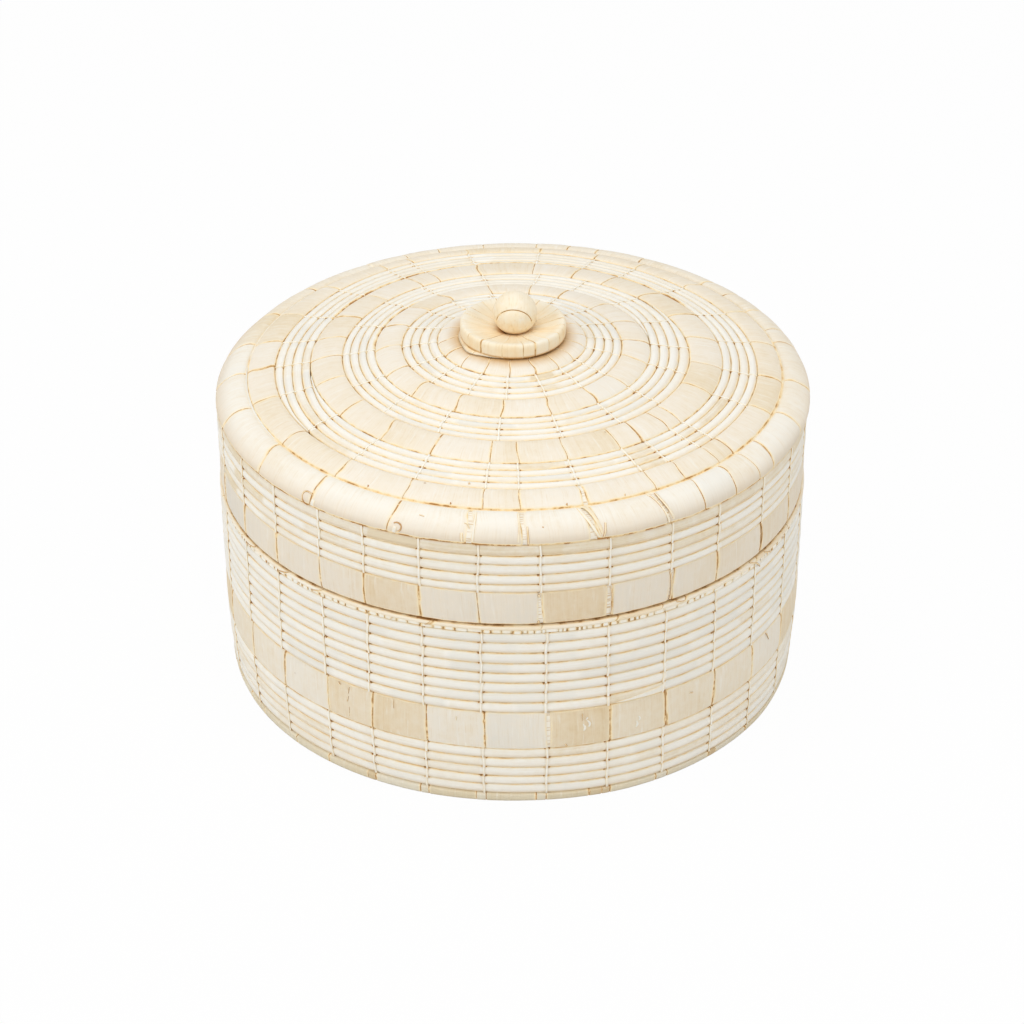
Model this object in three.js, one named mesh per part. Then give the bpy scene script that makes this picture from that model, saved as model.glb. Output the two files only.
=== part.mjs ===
// A round lidded box of coiled basketry: palm leaf wound round grass, cane and thin hoops.
// Millimetres, +Z up, standing on z = 0 with its centre line on the Z axis. The front is -Y.
import * as THREE from "three";

// Rings and coils share one number of straight steps in a turn, so that they nest.
const turnSteps = 24;
const stepAngle = (2 * Math.PI) / turnSteps;
// The space between pieces that lie against each other, and the wider one between turns.
const seatGap = 0.3;
const turnGap = 0.5;

// The lid's top, from its centre outwards.
const buttonRadius = 23.8;
const lidBandWidths = [13.6, 13.9, 16.3, 13.3];
const lidCoilPitch = 4.45;
const lidCoilTurns = 4;
const shoulderWidth = 15.5;
// The top is a shallow cone with a little sag towards its edge.
const lidSlope = 0.131;
const lidSag = 0.00022;
const lidThickness = 4.4;
const coilCrown = 0.6;
const bandCrown = 1.3;
const sideDrop = 0.6;

// The lid's skirt, from the shoulder down.
const shoulderHeight = 10.2;
const skirtInset = 0.6;
const skirtThickness = 4.6;
const skirtCoilPitch = 5.3;
const skirtCoilTurns = 5;
const skirtBandHeight = 18.15;

// The box's wall, from the table up.
const rimOverhang = 0.2;
const footHeight = 5.5;
const footInset = 2.7;
const straightFrom = 51;
const wallCoilPitch = 5.7;
const lowerCoilTurns = 5;
const wallBandHeight = 22;
const upperCoilTurns = 8;
const rimHeight = 4.1;

// The collar inside the wall, which the skirt slides over.
const collarClearance = 0.9;
const collarThickness = 2.6;
const collarRise = 12;
const collarDepth = 20;

// The floor and its outer ring, which carries the wall.
const footRingWidth = 16;
const floorThickness = 4.8;
const floorLift = 0.6;

// Leaf is wound over the flat hoops and over the knob.
const leafThickness = 0.8;
const leafSlit = 4;
const bandRelief = 0.4;

// The knob: a bead in a saucer, tied through the lid's centre.
const beadRadius = 11;
const beadLeaf = 0.7;
const beadSeat = 1.6;
const saucerRadius = 26.5;
const saucerHeight = 6.9;
const saucerBore = 4.8;
const saucerHubHeight = 1;
const saucerBoardBore = 9;
const spacerRadius = 26;
const spacerThickness = 0.8;
const spacerShift = [-2.3, -1.9];
const stemRadius = 1.6;
const buttonBore = 2.4;
const washerRadius = 9;
const washerThickness = 1.5;
const knotRadius = 3.4;

// Radii and heights that follow from the sizes above.
const lidCoilWidth = lidCoilTurns * lidCoilPitch;
const bandInner = [buttonRadius];
for (const width of lidBandWidths) bandInner.push(bandInner.at(-1) + width + lidCoilWidth);
const coilInner = lidBandWidths.slice(0, -1).map((width, i) => bandInner[i] + width);
const shoulderInner = bandInner[3] + lidBandWidths[3];
const lidRadius = shoulderInner + shoulderWidth;
const skirtRadius = lidRadius - skirtInset;
const skirtInner = skirtRadius - skirtThickness;
const wallRadius = lidRadius + rimOverhang;
const collarRadius = skirtInner - collarClearance;
const wallInner = collarRadius + seatGap;

const lowerCoilTop = footHeight + lowerCoilTurns * wallCoilPitch;
const wallBandTop = lowerCoilTop + wallBandHeight;
const upperCoilTop = wallBandTop + upperCoilTurns * wallCoilPitch;
const rimTop = upperCoilTop + rimHeight;
const skirtBottom = rimTop + seatGap;
const skirtBandTop = skirtBottom + skirtBandHeight;
const skirtTop = skirtBandTop + skirtCoilTurns * skirtCoilPitch;
const shoulderTop = skirtTop + shoulderHeight;

// The groove line of the lid's top: the height of the furrows between its rings.
function lidLine(radius) {
  const inwards = shoulderInner - radius;
  return shoulderTop + lidSlope * inwards + lidSag * (shoulderInner ** 2 - radius ** 2);
}

// The wall stands straight and draws in a little towards the foot.
function wallLine(height) {
  return wallRadius - footInset * Math.max(0, 1 - height / straightFrom) ** 2;
}

const leaf = new THREE.MeshStandardMaterial({ color: 0xf3ead7, roughness: 0.62 });
const bandLeaf = new THREE.MeshStandardMaterial({ color: 0xeeddbf, roughness: 0.6 });
const knobLeaf = new THREE.MeshStandardMaterial({ color: 0xedd9ac, roughness: 0.5 });
const hoopWood = new THREE.MeshStandardMaterial({ color: 0xc9a876, roughness: 0.75 });
const twine = new THREE.MeshStandardMaterial({ color: 0xd8bf8e, roughness: 0.8 });

const box = new THREE.Group();

function addPiece(name, geometry, material) {
  const mesh = new THREE.Mesh(geometry, material);
  mesh.name = name;
  box.add(mesh);
}

// A ring from its section: [radius, height] points, counter-clockwise with the radius to the right.
function ringOf(section, steps = turnSteps) {
  const closed = section[0][0] === 0 ? section : [...section, section[0]];
  const points = closed.map(([radius, height]) => new THREE.Vector2(radius, height));
  return new THREE.LatheGeometry(points, steps).rotateX(Math.PI / 2);
}

// Moves each side of a convex section inwards by one distance.
function insetSection(section, distance) {
  const side = (i) => {
    const [ax, ay] = section[i];
    const [bx, by] = section[(i + 1) % section.length];
    const length = Math.hypot(bx - ax, by - ay);
    const [nx, ny] = [-(by - ay) / length, (bx - ax) / length];
    return { nx, ny, reach: nx * ax + ny * ay + distance };
  };
  return section.map((_, i) => {
    const before = side((i + section.length - 1) % section.length);
    const after = side(i);
    const cross = before.nx * after.ny - before.ny * after.nx;
    return [
      (before.reach * after.ny - after.reach * before.ny) / cross,
      (before.nx * after.reach - before.reach * after.nx) / cross,
    ];
  });
}

// Leaf wound round a core. Its edges stop short of each other on side 0, the one least seen.
function leafRound(section, core) {
  const [ax, ay] = section[0];
  const [bx, by] = section[1];
  const length = Math.hypot(bx - ax, by - ay);
  const along = [(bx - ax) / length, (by - ay) / length];
  const into = [-along[1], along[0]];
  const edge = (side, depth) => {
    const run = length / 2 + (side * leafSlit) / 2;
    return [0, 1].map((k) => section[0][k] + along[k] * run + into[k] * depth);
  };
  return [
    edge(1, 0),
    ...section.slice(1),
    section[0],
    edge(-1, 0),
    edge(-1, leafThickness),
    core[0],
    ...core.slice(1).reverse(),
    edge(1, leafThickness),
  ];
}

// A flat hoop and the leaf wound round it.
function addWoundHoop(name, section) {
  const leafInside = insetSection(section, leafThickness);
  addPiece(`${name}_wrap`, ringOf(leafRound(section, leafInside)), bandLeaf);
  addPiece(`${name}_hoop`, ringOf(insetSection(leafInside, seatGap)), hoopWood);
}

// One unbroken coil that fills a flat group of rows. Each turn keeps to its row and then climbs
// to the next one within a few steps; the two ends taper into the room that the climb leaves.
// surface(across, depth) gives the [radius, height] of a point of the section.
const climbSteps = 3;
function coilOf(name, turns, pitch, thickness, startAngle, surface) {
  const sides = 6;
  const rise = (share) => share * share * (3 - 2 * share);
  const strand = [];
  for (let i = 1; i < turns * turnSteps + climbSteps; i++) {
    const row = Math.floor(i / turnSteps) - 1 + rise(Math.min(1, (i % turnSteps) / climbSteps));
    const low = Math.max(0, row) * pitch + turnGap / 2;
    const high = Math.min(turns, row + 1) * pitch - turnGap / 2;
    const shoulder = 0.28 * (high - low);
    const section = [
      [low, thickness],
      [low, 0.3 * thickness],
      [low + shoulder, 0],
      [high - shoulder, 0],
      [high, 0.3 * thickness],
      [high, thickness],
    ];
    const angle = startAngle + i * stepAngle;
    strand.push(
      section.map(([across, depth]) => {
        const [radius, height] = surface(across, depth);
        return new THREE.Vector3(radius * Math.cos(angle), radius * Math.sin(angle), height);
      }),
    );
  }

  let leastGap = Infinity;
  for (let i = turnSteps; i < strand.length; i++)
    for (const here of strand[i])
      for (const there of strand[i - turnSteps]) leastGap = Math.min(leastGap, here.distanceTo(there));
  console.log(`${name}: least gap between turns ${leastGap.toFixed(2)} mm`);

  const faces = [];
  for (let i = 0; i + 1 < strand.length; i++)
    for (let k = 0; k < sides; k++) {
      const [a, b] = [i * sides + k, i * sides + ((k + 1) % sides)];
      faces.push(a, b, b + sides, a, b + sides, a + sides);
    }
  const last = (strand.length - 1) * sides;
  for (let k = 1; k + 1 < sides; k++) {
    faces.push(0, k + 1, k);
    faces.push(last, last + k, last + k + 1);
  }
  const geometry = new THREE.BufferGeometry().setFromPoints(strand.flat());
  geometry.setIndex(faces);
  geometry.computeVertexNormals();
  return geometry;
}

// Turns a geometry's faces round, for a coil whose rows run the other way across its surface.
function facingOut(geometry) {
  const index = geometry.getIndex();
  for (let i = 0; i < index.count; i += 3) {
    const second = index.getX(i + 1);
    index.setX(i + 1, index.getX(i + 2));
    index.setX(i + 2, second);
  }
  geometry.computeVertexNormals();
  return geometry;
}

const quarter = Math.PI / 2;

// Lid top: a centre button, then padded bands and groups of thin coil in turn.
const buttonBottom = lidLine(buttonRadius) - lidThickness;
const buttonTop = lidLine(buttonRadius + lidBandWidths[0] / 4) + bandCrown;
addPiece(
  "lid_center_button",
  ringOf([
    [buttonBore, buttonBottom],
    [buttonRadius - turnGap / 2, buttonBottom],
    [buttonRadius - turnGap / 2, lidLine(buttonRadius) - sideDrop],
    [buttonRadius - 3, buttonTop],
    [buttonBore, buttonTop],
  ]),
  bandLeaf,
);

// A padded band between two radii, with its crown over the groove line and a flat back.
function lidBandSection(inner, width) {
  const low = inner + turnGap / 2;
  const high = inner + width - turnGap / 2;
  const quarterWidth = width / 4;
  return [
    [low, lidLine(low) - lidThickness],
    [high, lidLine(high) - lidThickness],
    [high, lidLine(high) - sideDrop],
    [high - quarterWidth, lidLine(high - quarterWidth) + bandCrown],
    [low + quarterWidth, lidLine(low + quarterWidth) + bandCrown],
    [low, lidLine(low) - sideDrop],
  ];
}

lidBandWidths.forEach((width, i) => {
  addPiece(`lid_band_${i + 1}`, ringOf(lidBandSection(bandInner[i], width)), bandLeaf);
});

// The climbs of the three groups lie at the back, at the right and at the left.
[1, 0, 2].forEach((quarters, i) => {
  const surface = (across, depth) => {
    const radius = coilInner[i] + across;
    return [radius, lidLine(radius) + coilCrown - depth];
  };
  const name = `lid_coil_${i + 1}`;
  const thickness = lidThickness + coilCrown;
  const coil = coilOf(name, lidCoilTurns, lidCoilPitch, thickness, quarters * quarter, surface);
  addPiece(name, coil, leaf);
});

// The shoulder rolls from the top over to the skirt.
addPiece(
  "lid_shoulder_roll",
  ringOf([
    [skirtInner, skirtTop + seatGap],
    [lidRadius - 0.5, skirtTop + seatGap],
    [lidRadius, skirtTop + 1.8],
    [lidRadius - 0.9, skirtTop + 0.42 * shoulderHeight],
    [lidRadius - 3.4, skirtTop + 0.6 * shoulderHeight],
    [lidRadius - 7.3, skirtTop + 0.8 * shoulderHeight],
    [lidRadius - 11.3, shoulderTop - 0.3],
    [shoulderInner + turnGap / 2, shoulderTop - sideDrop],
    [shoulderInner + turnGap / 2, shoulderTop - lidThickness],
    [shoulderInner + 6.7, shoulderTop - lidThickness - 2.6],
  ]),
  bandLeaf,
);

// Skirt: one thin coil of several turns over a flat wound hoop.
addPiece(
  "skirt_coil",
  facingOut(
    coilOf("skirt_coil", skirtCoilTurns, skirtCoilPitch, skirtThickness, quarter, (across, depth) => [
      skirtRadius - depth,
      skirtBandTop + across,
    ]),
  ),
  leaf,
);

// A plain rectangular section, from the top of its inner side.
function uprightSection(inner, outer, bottom, top) {
  return [
    [inner, top],
    [inner, bottom],
    [outer, bottom],
    [outer, top],
  ];
}

addWoundHoop(
  "skirt_band",
  uprightSection(skirtInner, skirtRadius - bandRelief, skirtBottom, skirtBandTop - seatGap / 2),
);

// Knob: a leaf-covered bead in a leaf-covered saucer, on a stem that is knotted under the lid.
// A thin leaf disc, a little off centre, lies between the saucer and the lid.
const spacerBottom = buttonTop + seatGap;
const saucerBottom = spacerBottom + spacerThickness + seatGap;
const saucerRim = saucerBottom + saucerHeight;
const beadCentre = saucerBottom + saucerHubHeight + seatGap + Math.sqrt(beadRadius ** 2 - saucerBore ** 2);

const saucerSection = [
  [saucerBore, saucerBottom],
  [saucerRadius - 1.1, saucerBottom],
  [saucerRadius, saucerBottom + 1.1],
  [saucerRadius, saucerRim - 1],
  [saucerRadius - 1.6, saucerRim],
  [saucerBore + 2.8, saucerBottom + 2.4],
  [saucerBore, saucerBottom + saucerHubHeight],
];
const dishSlope = (saucerHeight - 2.4) / (saucerRadius - 1.6 - saucerBore - 2.8);
function boardSection(play) {
  const bore = saucerBoardBore + play;
  const edge = saucerRadius - leafThickness - play;
  const under = saucerBottom + leafThickness + play;
  const dish = (radius) => saucerRim - dishSlope * (saucerRadius - 1.6 - radius) - leafThickness - play;
  return [
    [bore, under],
    [edge - 0.6, under],
    [edge, under + 0.6],
    [edge, dish(edge) - 1.1],
    [edge - 1.5, dish(edge - 1.5)],
    [bore, dish(bore)],
  ];
}
const leafInside = boardSection(0);
const slitFrom = (saucerBoardBore + saucerRadius - leafSlit) / 2;
addPiece(
  "knob_saucer_wrap",
  ringOf([
    [slitFrom + leafSlit, saucerBottom],
    ...saucerSection.slice(1),
    saucerSection[0],
    [slitFrom, saucerBottom],
    [slitFrom, saucerBottom + leafThickness],
    leafInside[0],
    ...leafInside.slice(1).reverse(),
    [slitFrom + leafSlit, saucerBottom + leafThickness],
  ]),
  knobLeaf,
);
addPiece("knob_saucer_board", ringOf(boardSection(seatGap)), hoopWood);

// Points of an upright arc round the bead's centre, from one angle to another.
function beadArc(radius, from, to, steps) {
  return Array.from({ length: steps + 1 }, (_, i) => {
    const angle = from + ((to - from) * i) / steps;
    return [radius * Math.cos(angle), beadCentre + radius * Math.sin(angle)];
  });
}
const beadSteps = 8;
const coreRadius = beadRadius - beadLeaf - seatGap;
const wrapInner = beadRadius - beadLeaf;
const leafMouth = stemRadius + 1.2;
const mouthAngle = (radius, mouth) => -Math.acos(mouth / radius);
const onAxis = ([, height]) => [0, height];

const wrapOuter = beadArc(beadRadius, mouthAngle(beadRadius, leafMouth), quarter, beadSteps);
const wrapInside = beadArc(wrapInner, quarter, mouthAngle(wrapInner, leafMouth), beadSteps);
wrapOuter[beadSteps] = onAxis(wrapOuter[beadSteps]);
wrapInside[0] = onAxis(wrapInside[0]);
addPiece(
  "knob_bead_wrap",
  ringOf([...wrapInside, ...wrapOuter], 16),
  knobLeaf,
);

const beadBore = stemRadius + seatGap;
const stemTop = beadCentre + beadSeat;
const coreOuter = beadArc(coreRadius, mouthAngle(coreRadius, beadBore), quarter, beadSteps);
coreOuter[beadSteps] = onAxis(coreOuter[beadSteps]);
addPiece(
  "knob_bead",
  ringOf([[0, stemTop + seatGap], [beadBore, stemTop + seatGap], ...coreOuter], 16),
  hoopWood,
);

const spacerBore = beadBore + Math.hypot(...spacerShift);
const spacerTop = spacerBottom + spacerThickness;
addPiece(
  "knob_spacer",
  ringOf(uprightSection(spacerBore, spacerRadius, spacerBottom, spacerTop)).translate(...spacerShift, 0),
  knobLeaf,
);

const washerTop = buttonBottom - seatGap;
const washerBottom = washerTop - washerThickness;
addPiece(
  "knob_washer",
  ringOf(uprightSection(beadBore, washerRadius, washerBottom, washerTop), 16),
  hoopWood,
);

const knotCentre = washerBottom - seatGap - Math.sqrt(knotRadius ** 2 - stemRadius ** 2);
addPiece(
  "knob_stem",
  ringOf(
    [
      [0, knotCentre - knotRadius],
      [0.7 * knotRadius, knotCentre - 0.7 * knotRadius],
      [knotRadius, knotCentre],
      [stemRadius + 0.8, knotCentre + 0.7 * knotRadius],
      [stemRadius, washerBottom - seatGap],
      [stemRadius, stemTop],
      [0, stemTop],
    ],
    12,
  ),
  twine,
);

// Wall: foot ring, lower coil, wound hoop, upper coil and rim, one on the other.
const footOuter = wallLine(0);
const footInner = footOuter - footRingWidth;
const footTop = footHeight - seatGap;
addPiece(
  "foot_ring",
  ringOf([
    [footInner + 1, 0],
    [footOuter - 1, 0],
    [footOuter, 1],
    [wallLine(footTop) - 0.3, footTop],
    [footInner, footTop],
    [footInner, 1],
  ]),
  bandLeaf,
);

function addWallCoil(name, turns, bottom, startAngle) {
  const surface = (across, depth) => {
    const height = bottom + across;
    const thickness = wallLine(height) - wallInner;
    return [wallLine(height) - depth * thickness, height];
  };
  addPiece(name, facingOut(coilOf(name, turns, wallCoilPitch, 1, startAngle, surface)), leaf);
}

// The lower coil climbs at the back, and the upper one two steps before it.
addWallCoil("wall_coil_lower", lowerCoilTurns, footHeight, quarter);
addWoundHoop(
  "wall_band",
  uprightSection(
    wallInner,
    wallLine(lowerCoilTop) - bandRelief,
    lowerCoilTop + seatGap / 2,
    wallBandTop - seatGap / 2,
  ),
);
addWallCoil("wall_coil_upper", upperCoilTurns, wallBandTop, quarter - 2 * stepAngle);
addPiece(
  "rim_coil",
  ringOf([
    [wallInner, upperCoilTop + seatGap],
    [wallRadius - 0.6, upperCoilTop + seatGap],
    [wallRadius, upperCoilTop + 0.35 * rimHeight],
    [wallRadius - 0.3, upperCoilTop + 0.75 * rimHeight],
    [wallRadius - 1.4, rimTop],
    [wallInner, rimTop],
  ]),
  bandLeaf,
);

addPiece(
  "inner_collar",
  ringOf([
    [collarRadius - collarThickness, rimTop - collarDepth],
    [collarRadius, rimTop - collarDepth],
    [collarRadius, rimTop + collarRise - 1],
    [collarRadius - 0.8, rimTop + collarRise],
    [collarRadius - collarThickness + 0.6, rimTop + collarRise],
    [collarRadius - collarThickness, rimTop + collarRise - 0.8],
  ]),
  bandLeaf,
);

// Floor: a button, bands and flat coils in the lid's order, inside the foot ring.
const floorTop = floorLift + floorThickness;
function addFloorRing(name, inner, outer, material) {
  const [low, high] = [inner + turnGap / 2, outer - turnGap / 2];
  addPiece(name, ringOf(uprightSection(low, high, floorLift, floorTop)), material);
}
addPiece(
  "floor_center_button",
  ringOf([
    [0, floorLift],
    [buttonRadius - turnGap / 2, floorLift],
    [buttonRadius - turnGap / 2, floorTop],
    [0, floorTop],
  ]),
  bandLeaf,
);
lidBandWidths.forEach((width, i) => {
  const outer = Math.min(bandInner[i] + width, footInner);
  addFloorRing(`floor_band_${i + 1}`, bandInner[i], outer, bandLeaf);
});
coilInner.forEach((inner, i) => {
  addFloorRing(`floor_coil_${i + 1}`, inner, inner + lidCoilWidth, leaf);
});

export default box;
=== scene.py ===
"""A round lidded box of coiled palm leaf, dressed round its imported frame. Metres, +Z up, front -Y."""

import math

import bpy
import numpy as np
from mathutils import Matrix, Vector


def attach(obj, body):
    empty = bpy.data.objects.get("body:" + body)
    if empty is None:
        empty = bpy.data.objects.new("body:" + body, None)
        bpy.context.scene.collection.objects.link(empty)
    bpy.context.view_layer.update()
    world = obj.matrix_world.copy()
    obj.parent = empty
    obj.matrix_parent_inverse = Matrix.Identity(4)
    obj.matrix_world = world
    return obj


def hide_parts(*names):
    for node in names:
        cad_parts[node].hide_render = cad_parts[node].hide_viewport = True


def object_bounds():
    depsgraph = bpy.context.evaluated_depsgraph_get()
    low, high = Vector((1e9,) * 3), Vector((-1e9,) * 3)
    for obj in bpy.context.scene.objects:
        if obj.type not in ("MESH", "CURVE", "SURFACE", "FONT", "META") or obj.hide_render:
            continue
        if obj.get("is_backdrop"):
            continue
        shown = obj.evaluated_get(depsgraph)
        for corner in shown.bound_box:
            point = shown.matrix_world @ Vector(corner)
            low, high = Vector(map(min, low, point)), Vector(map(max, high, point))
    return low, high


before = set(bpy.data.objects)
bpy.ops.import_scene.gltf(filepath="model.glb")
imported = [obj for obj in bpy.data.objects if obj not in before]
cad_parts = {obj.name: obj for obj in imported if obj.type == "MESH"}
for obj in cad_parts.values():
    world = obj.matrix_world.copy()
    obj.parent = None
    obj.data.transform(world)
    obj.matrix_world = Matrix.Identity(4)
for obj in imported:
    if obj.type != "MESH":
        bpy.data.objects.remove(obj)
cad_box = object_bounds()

# Camera and room
# A long lens looks down on the box from straight in front, about a metre and a half away.
# The box stands on a white table in a white room, under a broad soft light and two windows.

camera_data = bpy.data.cameras.new("camera")
camera_data.lens = 98.44
camera_data.sensor_width = 36.0
camera_height_angle = math.radians(32.232)
camera_distance = 1.45865
camera_target = Vector((0.0, 0.0, 0.0751))
camera = bpy.data.objects.new("camera", camera_data)
bpy.context.scene.collection.objects.link(camera)
camera_offset = Vector((0.0, -math.cos(camera_height_angle), math.sin(camera_height_angle)))
camera.location = camera_target + camera_distance * camera_offset
camera.rotation_euler = (-camera_offset).to_track_quat("-Z", "Y").to_euler()
bpy.context.scene.camera = camera
bpy.context.scene.view_settings.view_transform = "Standard"
MM = 0.001


class Value:
    """A socket that Python sums can use: each operator adds one Math node to its tree."""

    def __init__(self, shader, socket):
        self.shader = shader
        self.socket = socket

    def sum(self, operation, *terms):
        """One Math node's result for the given terms."""
        return self.shader.node("ShaderNodeMath", dict(enumerate(terms)), operation=operation)

    def __add__(self, other):
        return self.sum("ADD", self, other)

    def __sub__(self, other):
        return self.sum("SUBTRACT", self, other)

    def __rsub__(self, other):
        return self.sum("SUBTRACT", other, self)

    def __mul__(self, other):
        return self.sum("MULTIPLY", self, other)

    __radd__ = __add__
    __rmul__ = __mul__

    def smooth(self, low, high):
        """0 below low, 1 above high, and a smooth step between."""
        limits = {"Value": self, "From Min": low, "From Max": high}
        return self.shader.node("ShaderNodeMapRange", limits, interpolation_type="SMOOTHSTEP")


class Shader:
    """The nodes of a material or a world, around its main node. New ones come from node()."""

    def __init__(self, owner, main="Principled BSDF", **constants):
        owner.use_nodes = True
        self.owner = owner
        self.tree = owner.node_tree
        self.surface = self.tree.nodes[main]
        for socket, value in constants.items():
            self.surface.inputs[socket.replace("_", " ")].default_value = value

    def put(self, socket, value):
        """Sets a socket to a number or colour, or links it to a Value."""
        if isinstance(value, Value):
            self.tree.links.new(value.socket, socket)
        else:
            socket.default_value = value

    def node(self, kind, inputs=None, out=0, stops=None, **settings):
        """Adds a node: its settings and ramp stops first, then its inputs. Returns one output."""
        node = self.tree.nodes.new(kind)
        for key, value in settings.items():
            setattr(node, key, value)
        if stops:
            ramp_stops = node.color_ramp.elements
            while len(ramp_stops) < len(stops):
                ramp_stops.new(1.0)
            for element, (position, color) in zip(ramp_stops, stops):
                element.position = position
                element.color = (*color, 1.0)
        for key, value in (inputs or {}).items():
            self.put(node.inputs[key], value)
        return Value(self, node.outputs[out])

    def mix(self, mask, first, second, blend="MIX"):
        """first where the mask is 0, second (or the blend of both) where it is 1: colours."""
        pair = [(*c, 1.0) if isinstance(c, tuple) else c for c in (first, second)]
        settings = {"data_type": "RGBA", "clamp_factor": True, "blend_type": blend}
        return self.node("ShaderNodeMix", {0: mask, 6: pair[0], 7: pair[1]}, out=2, **settings)

    def attribute(self, name):
        """A number stored on the mesh's points, or 0 where the mesh has none of that name."""
        return self.node("ShaderNodeAttribute", out=2, attribute_name=name)

    def noise(self, place, scale, detail=2.0, roughness=0.5):
        """Noise over a place stretched by a scale along each of its directions."""
        where = self.node("ShaderNodeVectorMath", {0: place, 1: scale}, operation="MULTIPLY")
        settings = {"Vector": where, "Scale": 1.0, "Detail": detail, "Roughness": roughness}
        return self.node("ShaderNodeTexNoise", settings)

    def place(self):
        """The point's place on the object."""
        return self.node("ShaderNodeTexCoord", out=3)

    def finish(self, color, roughness, height=None):
        """Feeds the surface its colour, roughness and bump height in mm."""
        self.put(self.surface.inputs["Base Color"], color)
        self.put(self.surface.inputs["Roughness"], roughness)
        if height is not None:
            bump = {"Height": height, "Strength": 1.0, "Distance": MM}
            self.put(self.surface.inputs["Normal"], self.node("ShaderNodeBump", bump))
        return self.owner


table_half = 6.0
table_mesh = bpy.data.meshes.new("table")
table_sides = ((-1, -1), (1, -1), (1, 1), (-1, 1))
table_corners = [(table_half * x, table_half * y, 0.0) for x, y in table_sides]
table_mesh.from_pydata(table_corners, [], [(0, 1, 2, 3)])
table = bpy.data.objects.new("table", table_mesh)
bpy.context.scene.collection.objects.link(table)
table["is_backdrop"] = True
paint = Shader(bpy.data.materials.new("white_table"))
table_grain = paint.noise(paint.place(), (9.0, 9.0, 9.0))
table_color = paint.mix(table_grain, (0.78, 0.775, 0.765), (0.80, 0.795, 0.785))
table_mesh.materials.append(paint.finish(table_color, 0.7))
white = (1.0, 1.0, 1.0, 1.0)
painted = Value(paint, paint.surface.outputs[0])
seen = paint.node("ShaderNodeLightPath", out="Is Camera Ray")
glow = paint.node("ShaderNodeEmission", {"Color": white, "Strength": 1.0})
bleached = paint.node("ShaderNodeMixShader", {0: 0.97, 1: painted, 2: glow})
table_look = paint.node("ShaderNodeMixShader", {0: seen, 1: painted, 2: bleached})
paint.put(paint.tree.nodes["Material Output"].inputs["Surface"], table_look)

room = Shader(bpy.data.worlds.new("room"), "Background", Color=(1.0, 0.995, 0.985, 1.0), Strength=0.5)
bpy.context.scene.world = room.owner
ambient = Value(room, room.surface.outputs[0])
backdrop = room.node("ShaderNodeBackground", {"Color": white})
mirrored = room.node("ShaderNodeLightPath", out="Is Camera Ray")
for ray in ("Is Glossy Ray", "Is Transmission Ray"):
    mirrored = mirrored.sum("MAXIMUM", mirrored, room.node("ShaderNodeLightPath", out=ray))
room_look = room.node("ShaderNodeMixShader", {0: mirrored, 1: ambient, 2: backdrop})
room.put(room.tree.nodes["World Output"].inputs["Surface"], room_look)


def add_lamp(name, size, power, place):
    """A square soft light at a place, turned towards the middle of the box."""
    lamp = bpy.data.lights.new(name, "AREA")
    lamp.size = size
    lamp.energy = power
    light = bpy.data.objects.new(name, lamp)
    light.location = place
    light.rotation_euler = (camera_target - Vector(place)).to_track_quat("-Z", "Y").to_euler()
    bpy.context.scene.collection.objects.link(light)


add_lamp("overhead", 1.1, 9.4, (-0.1, 0.0, 1.7))
add_lamp("left_window", 1.0, 9.9, (-1.35, -1.0, 0.9))
add_lamp("right_window", 1.0, 7.1, (1.35, -1.0, 0.9))

# Floor bands
# The floor is worked like the lid's top, from a button outwards. Its padded bands are wound
# crosswise with broad strips of leaf. Nothing of the floor shows in the photo.

TURN = 2 * np.pi


def ramp(value, *points):
    """Straight steps between given (place, value) points."""
    places, values = zip(*points)
    return np.interp(value, places, values)


def fade(value, none, full):
    """0 at one value, 1 at another, and a straight line between: (value - none) / (full - none)."""
    return np.clip((value - none) / (full - none), 0, 1)


def together(*parts):
    """Arrays joined along a new last axis, each first spread to the shape of all of them."""
    return np.stack(np.broadcast_arrays(*parts), -1)


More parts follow.
